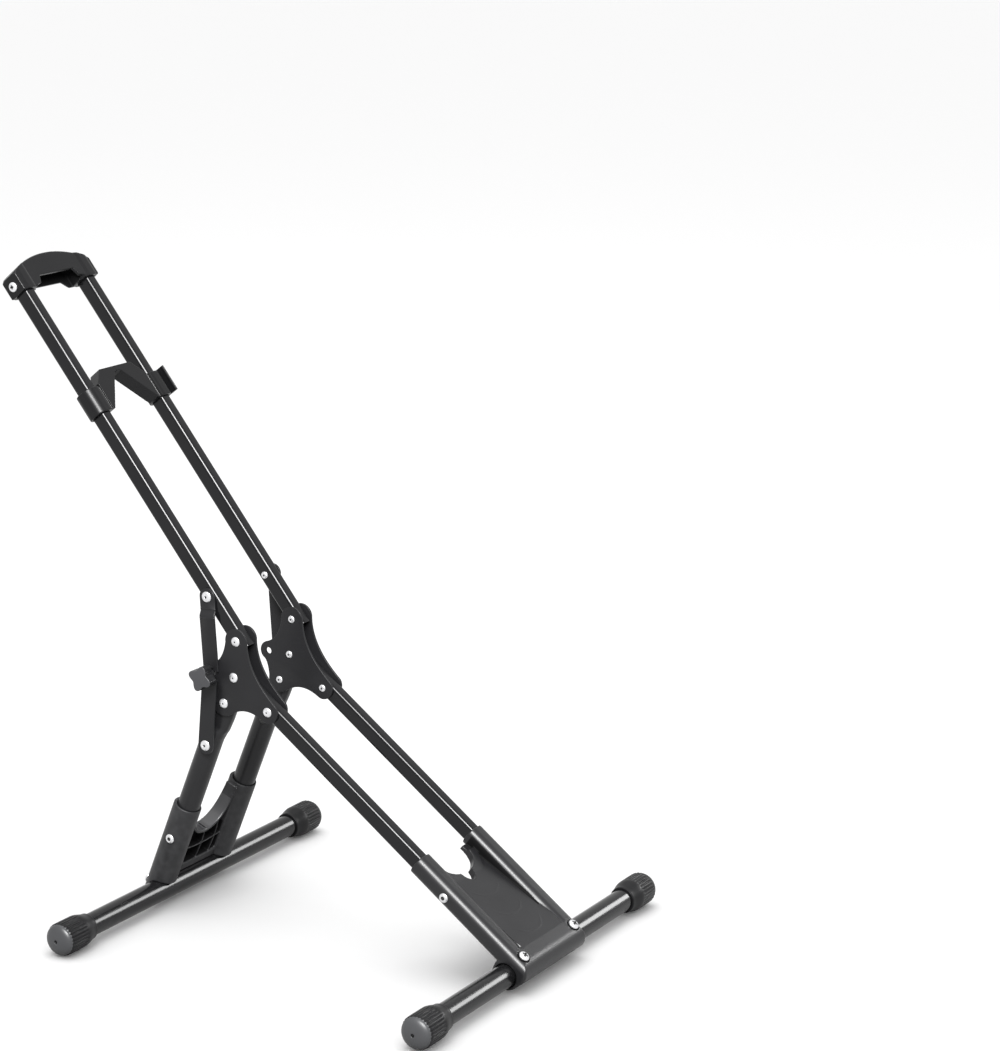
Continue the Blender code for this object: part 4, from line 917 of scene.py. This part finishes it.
def build_rear_shoe():
    end = LEG_LEN + 16.0
    obj = None
    parts = []
    for _, side in SIDES:
        bm = prism(circle(rail_x(side), SOCKET_N, SOCKET_R, 72, 0.0), SOCKET_TOP, end, "xn", bevel=0.8, segments=3)
        if obj is None:
            obj = obj_of("rear_shoe_fine", bm, LEG, [MOULD])
        else:
            parts.append(cutter(bm, LEG))
    web = [(SOCKET_TOP + 4.0, 1.5), (end, 1.5), (end, 16.5), (SOCKET_TOP + 4.0, 14.5)]
    parts.append(cutter(prism(web, -40, 40), LEG))
    boolean(obj, parts, "UNION")
    cuts = []

    def u_shape(grow, top):
        u = [(-31.0 - grow, top), (-31.0 - grow, 131.0)]
        u += bend((-31.0 - grow, 131.0), (-26.0 - grow * 0.8, 168.0 + grow), (0.0, 168.5 + grow), 20)
        u += [(0.0, 168.5 + grow)]
        u += bend((0.0, 168.5 + grow), (26.0 + grow * 0.8, 168.0 + grow), (31.0 + grow, 131.0), 20)
        u += [(31.0 + grow, 131.0), (31.0 + grow, top)]
        return u

    cuts.append(cutter(prism(u_shape(0.0, 100.0), -20, 40, "xs"), LEG))
    # One wide recess under the lip, with thin curved ribs standing in it.
    recess = cutter(prism([(-31.0, 130.0), (31.0, 130.0), (31.0, 203.0), (-31.0, 203.0)], -12.0, 11.6, "xs"), LEG)
    keep = cutter(prism(u_shape(3.2, 90.0), -30.0, 30.0, "xs"), LEG)
    boolean(recess, [keep], "DIFFERENCE")
    cuts.append(recess)
    for _, side in SIDES:
        cuts.append(cutter(prism(circle(rail_x(side), LEG_OFF, TUBE_R + 0.6, 64), SOCKET_TOP - 4, SOCKET_TOP + 76.6, "xn"), LEG))
    bed = [(LEG_LEN + (TUBE_R + GAP), -30.0)] + [
        (LEG_LEN + (TUBE_R + GAP) * math.cos(math.radians(a)), (TUBE_R + GAP) * math.sin(math.radians(a))) for a in [180.0 * i / 48 for i in range(49)]
    ] + [(LEG_LEN - (TUBE_R + GAP), -30.0)]
    cuts.append(cutter(prism(bed, -80, 80), LEG))
    cuts.append(cutter(prism([(120.0, -20.0), (300.0, -20.0), (300.0, 7.5), (120.0, 7.5)], -80, 80), WORLD))
    boolean(obj, cuts, "DIFFERENCE")
    ribs = []
    for s0, dip in ((184.0, 2.5), (202.0, 2.5)):
        pts = [(x, s0 + dip * (1 - (x / 31.0) ** 2)) for x in [-31.5 + 63.0 * i / 16 for i in range(17)]]
        outline = [(x, s - 0.6) for x, s in pts] + [(x, s + 0.6) for x, s in reversed(pts)]
        ribs.append(cutter(prism(outline, 2.6, 12.4, "xs"), LEG))
    for x0 in (-21.0, 0.0, 21.0):
        pts = [(x0 + 2.2 * math.sin(math.pi * i / 10) * (1 if x0 >= 0 else -1), 166.0 + 38.0 * i / 10) for i in range(11)]
        outline = [(x - 0.6, s) for x, s in pts] + [(x + 0.6, s) for x, s in reversed(pts)]
        ribs.append(cutter(prism(outline, 2.6, 12.4, "xs"), LEG))
    boolean(obj, ribs, "UNION")
    soften(obj, 0.6, 2)
    obj.data.materials.clear()
    obj.data.materials.append(SOCKET)
    # Painted shade on the floor and walls of the recess under the lip.
    paint_light(obj, LEG, lambda x, s, n, normal: abs(x) < 31.3 and 170.0 < s < 203.6 and 3.3 < n < 12.6)
    # Painted highlight: the lip's faces that face towards -s get the lighter, glossier lip material.
    paint_light(obj, LEG, lambda x, s, n, normal: abs(x) < 31.6 and 126.0 < s < 171.5 and 1.0 < n < 16.8 and normal.y < -0.25, LIP_HIGHLIGHT)
    place(obj, "rear_shoe")


for side_name, side in SIDES:
    leg(f"leg_{side_name}", side)
build_rear_shoe()


# ---------------------------------------------------------------- stage, light, camera
def stage_material():
    mat = bpy.data.materials.new("pale_floor")
    mat.use_nodes = True
    nt, nodes, link = links(mat)
    shader = nodes["Principled BSDF"]
    tex = nodes.new("ShaderNodeTexNoise")
    tex.inputs["Scale"].default_value = 0.6
    ramp = nodes.new("ShaderNodeValToRGB")
    ramp.color_ramp.elements[0].color = (0.945, 0.945, 0.945, 1)
    ramp.color_ramp.elements[1].color = (0.965, 0.965, 0.965, 1)
    link.new(tex.outputs["Fac"], ramp.inputs["Fac"])
    link.new(ramp.outputs["Color"], shader.inputs["Base Color"])
    shader.inputs["Roughness"].default_value = 0.9
    shader.inputs["Specular IOR Level"].default_value = 0.1
    return mat


bm = bmesh.new()
R = 30.0
corners = [bm.verts.new(p) for p in ((-R, -R, 0), (R, -R, 0), (R, R, 0), (-R, R, 0))]
bm.faces.new(corners)
mesh = bpy.data.meshes.new("floor")
bm.to_mesh(mesh)
bm.free()
floor = bpy.data.objects.new("floor", mesh)
bpy.context.scene.collection.objects.link(floor)
mesh.materials.append(stage_material())
floor.location.z = -0.0004

world = bpy.data.worlds.new("studio")
bpy.context.scene.world = world
world.use_nodes = True
wn = world.node_tree.nodes
wn["Background"].inputs["Color"].default_value = (1.0, 1.0, 1.0, 1)
wn["Background"].inputs["Strength"].default_value = 1.0


def area(name, at, to, size, power, size_y=None):
    light = bpy.data.lights.new(name, "AREA")
    light.energy = power
    light.shape = "RECTANGLE"
    light.size = size
    light.size_y = size_y or size
    obj = bpy.data.objects.new(name, light)
    bpy.context.scene.collection.objects.link(obj)
    obj.location = at
    obj.rotation_euler = (Vector(to) - Vector(at)).to_track_quat("-Z", "Y").to_euler()
    return obj


mid = (0.0, 0.0, 0.28)
keys = [
    area("key_up", (-1.84, -1.64, 2.15), mid, 1.5, 205.0, 1.0),
    area("key_low", (-1.74, -1.08, 2.5), mid, 1.5, 180.0, 0.9),
]
strip = area("strip", (2.4, -1.62, 1.24), mid, 1.7, 85.0, 0.95)
low_strip = area("low_strip", (2.4, -1.62, 1.24), mid, 1.7, 36.0, 0.34)
area("top", (0.2, 0.3, 3.6), mid, 2.6, 40.0)
# The studio lamps shine on the stand; the floor keeps the even light of the white room.
lit = bpy.data.collections.new("lit_by_lamps")
for piece in list(bpy.context.scene.objects):
    if piece.type == "MESH" and piece.name != floor.name:
        lit.objects.link(piece)
for lamp in keys:
    lamp.light_linking.receiver_collection = lit
tube_lit = bpy.data.collections.new("lit_by_strip")
low_lit = bpy.data.collections.new("lit_by_low_strip")
for piece in lit.objects:
    if piece.name.startswith(("front_tube", "rear_tube")):
        tube_lit.objects.link(piece)
    elif piece.name.startswith(("front_shoe", "rear_shoe", "cap_")):
        low_lit.objects.link(piece)
strip.light_linking.receiver_collection = tube_lit
low_strip.light_linking.receiver_collection = low_lit
bpy.context.scene.view_settings.view_transform = "Standard"

cam = bpy.data.cameras.new("camera")
cam_obj = bpy.data.objects.new("camera", cam)
bpy.context.scene.collection.objects.link(cam_obj)
az, el, roll = math.radians(-56.96874), math.radians(18.66873), math.radians(-0.1186)
d = Vector((math.sin(az) * math.cos(el), -math.cos(az) * math.cos(el), math.sin(el)))
fwd = -d
right = fwd.cross(Vector((0, 0, 1))).normalized()
up_v = right.cross(fwd)
r2 = right * math.cos(roll) + up_v * math.sin(roll)
u2 = up_v * math.cos(roll) - right * math.sin(roll)
cam_obj.matrix_world = Matrix((
    (r2.x, u2.x, -fwd.x, -2.11755),
    (r2.y, u2.y, -fwd.y, -1.39375 - MIDDLE_Y * MM),
    (r2.z, u2.z, -fwd.z, 1.02288),
    (0, 0, 0, 1)))
cam.sensor_fit = "AUTO"
cam.sensor_width = 36.0
cam.lens = 2837.10 * 36.0 / 1051.0
cam.shift_x = (500.0 - 372.06) / 1051.0
cam.shift_y = (764.87 - 525.5) / 1051.0
cam.clip_end = 200.0
cam.dof.use_dof = False
bpy.context.scene.camera = cam_obj
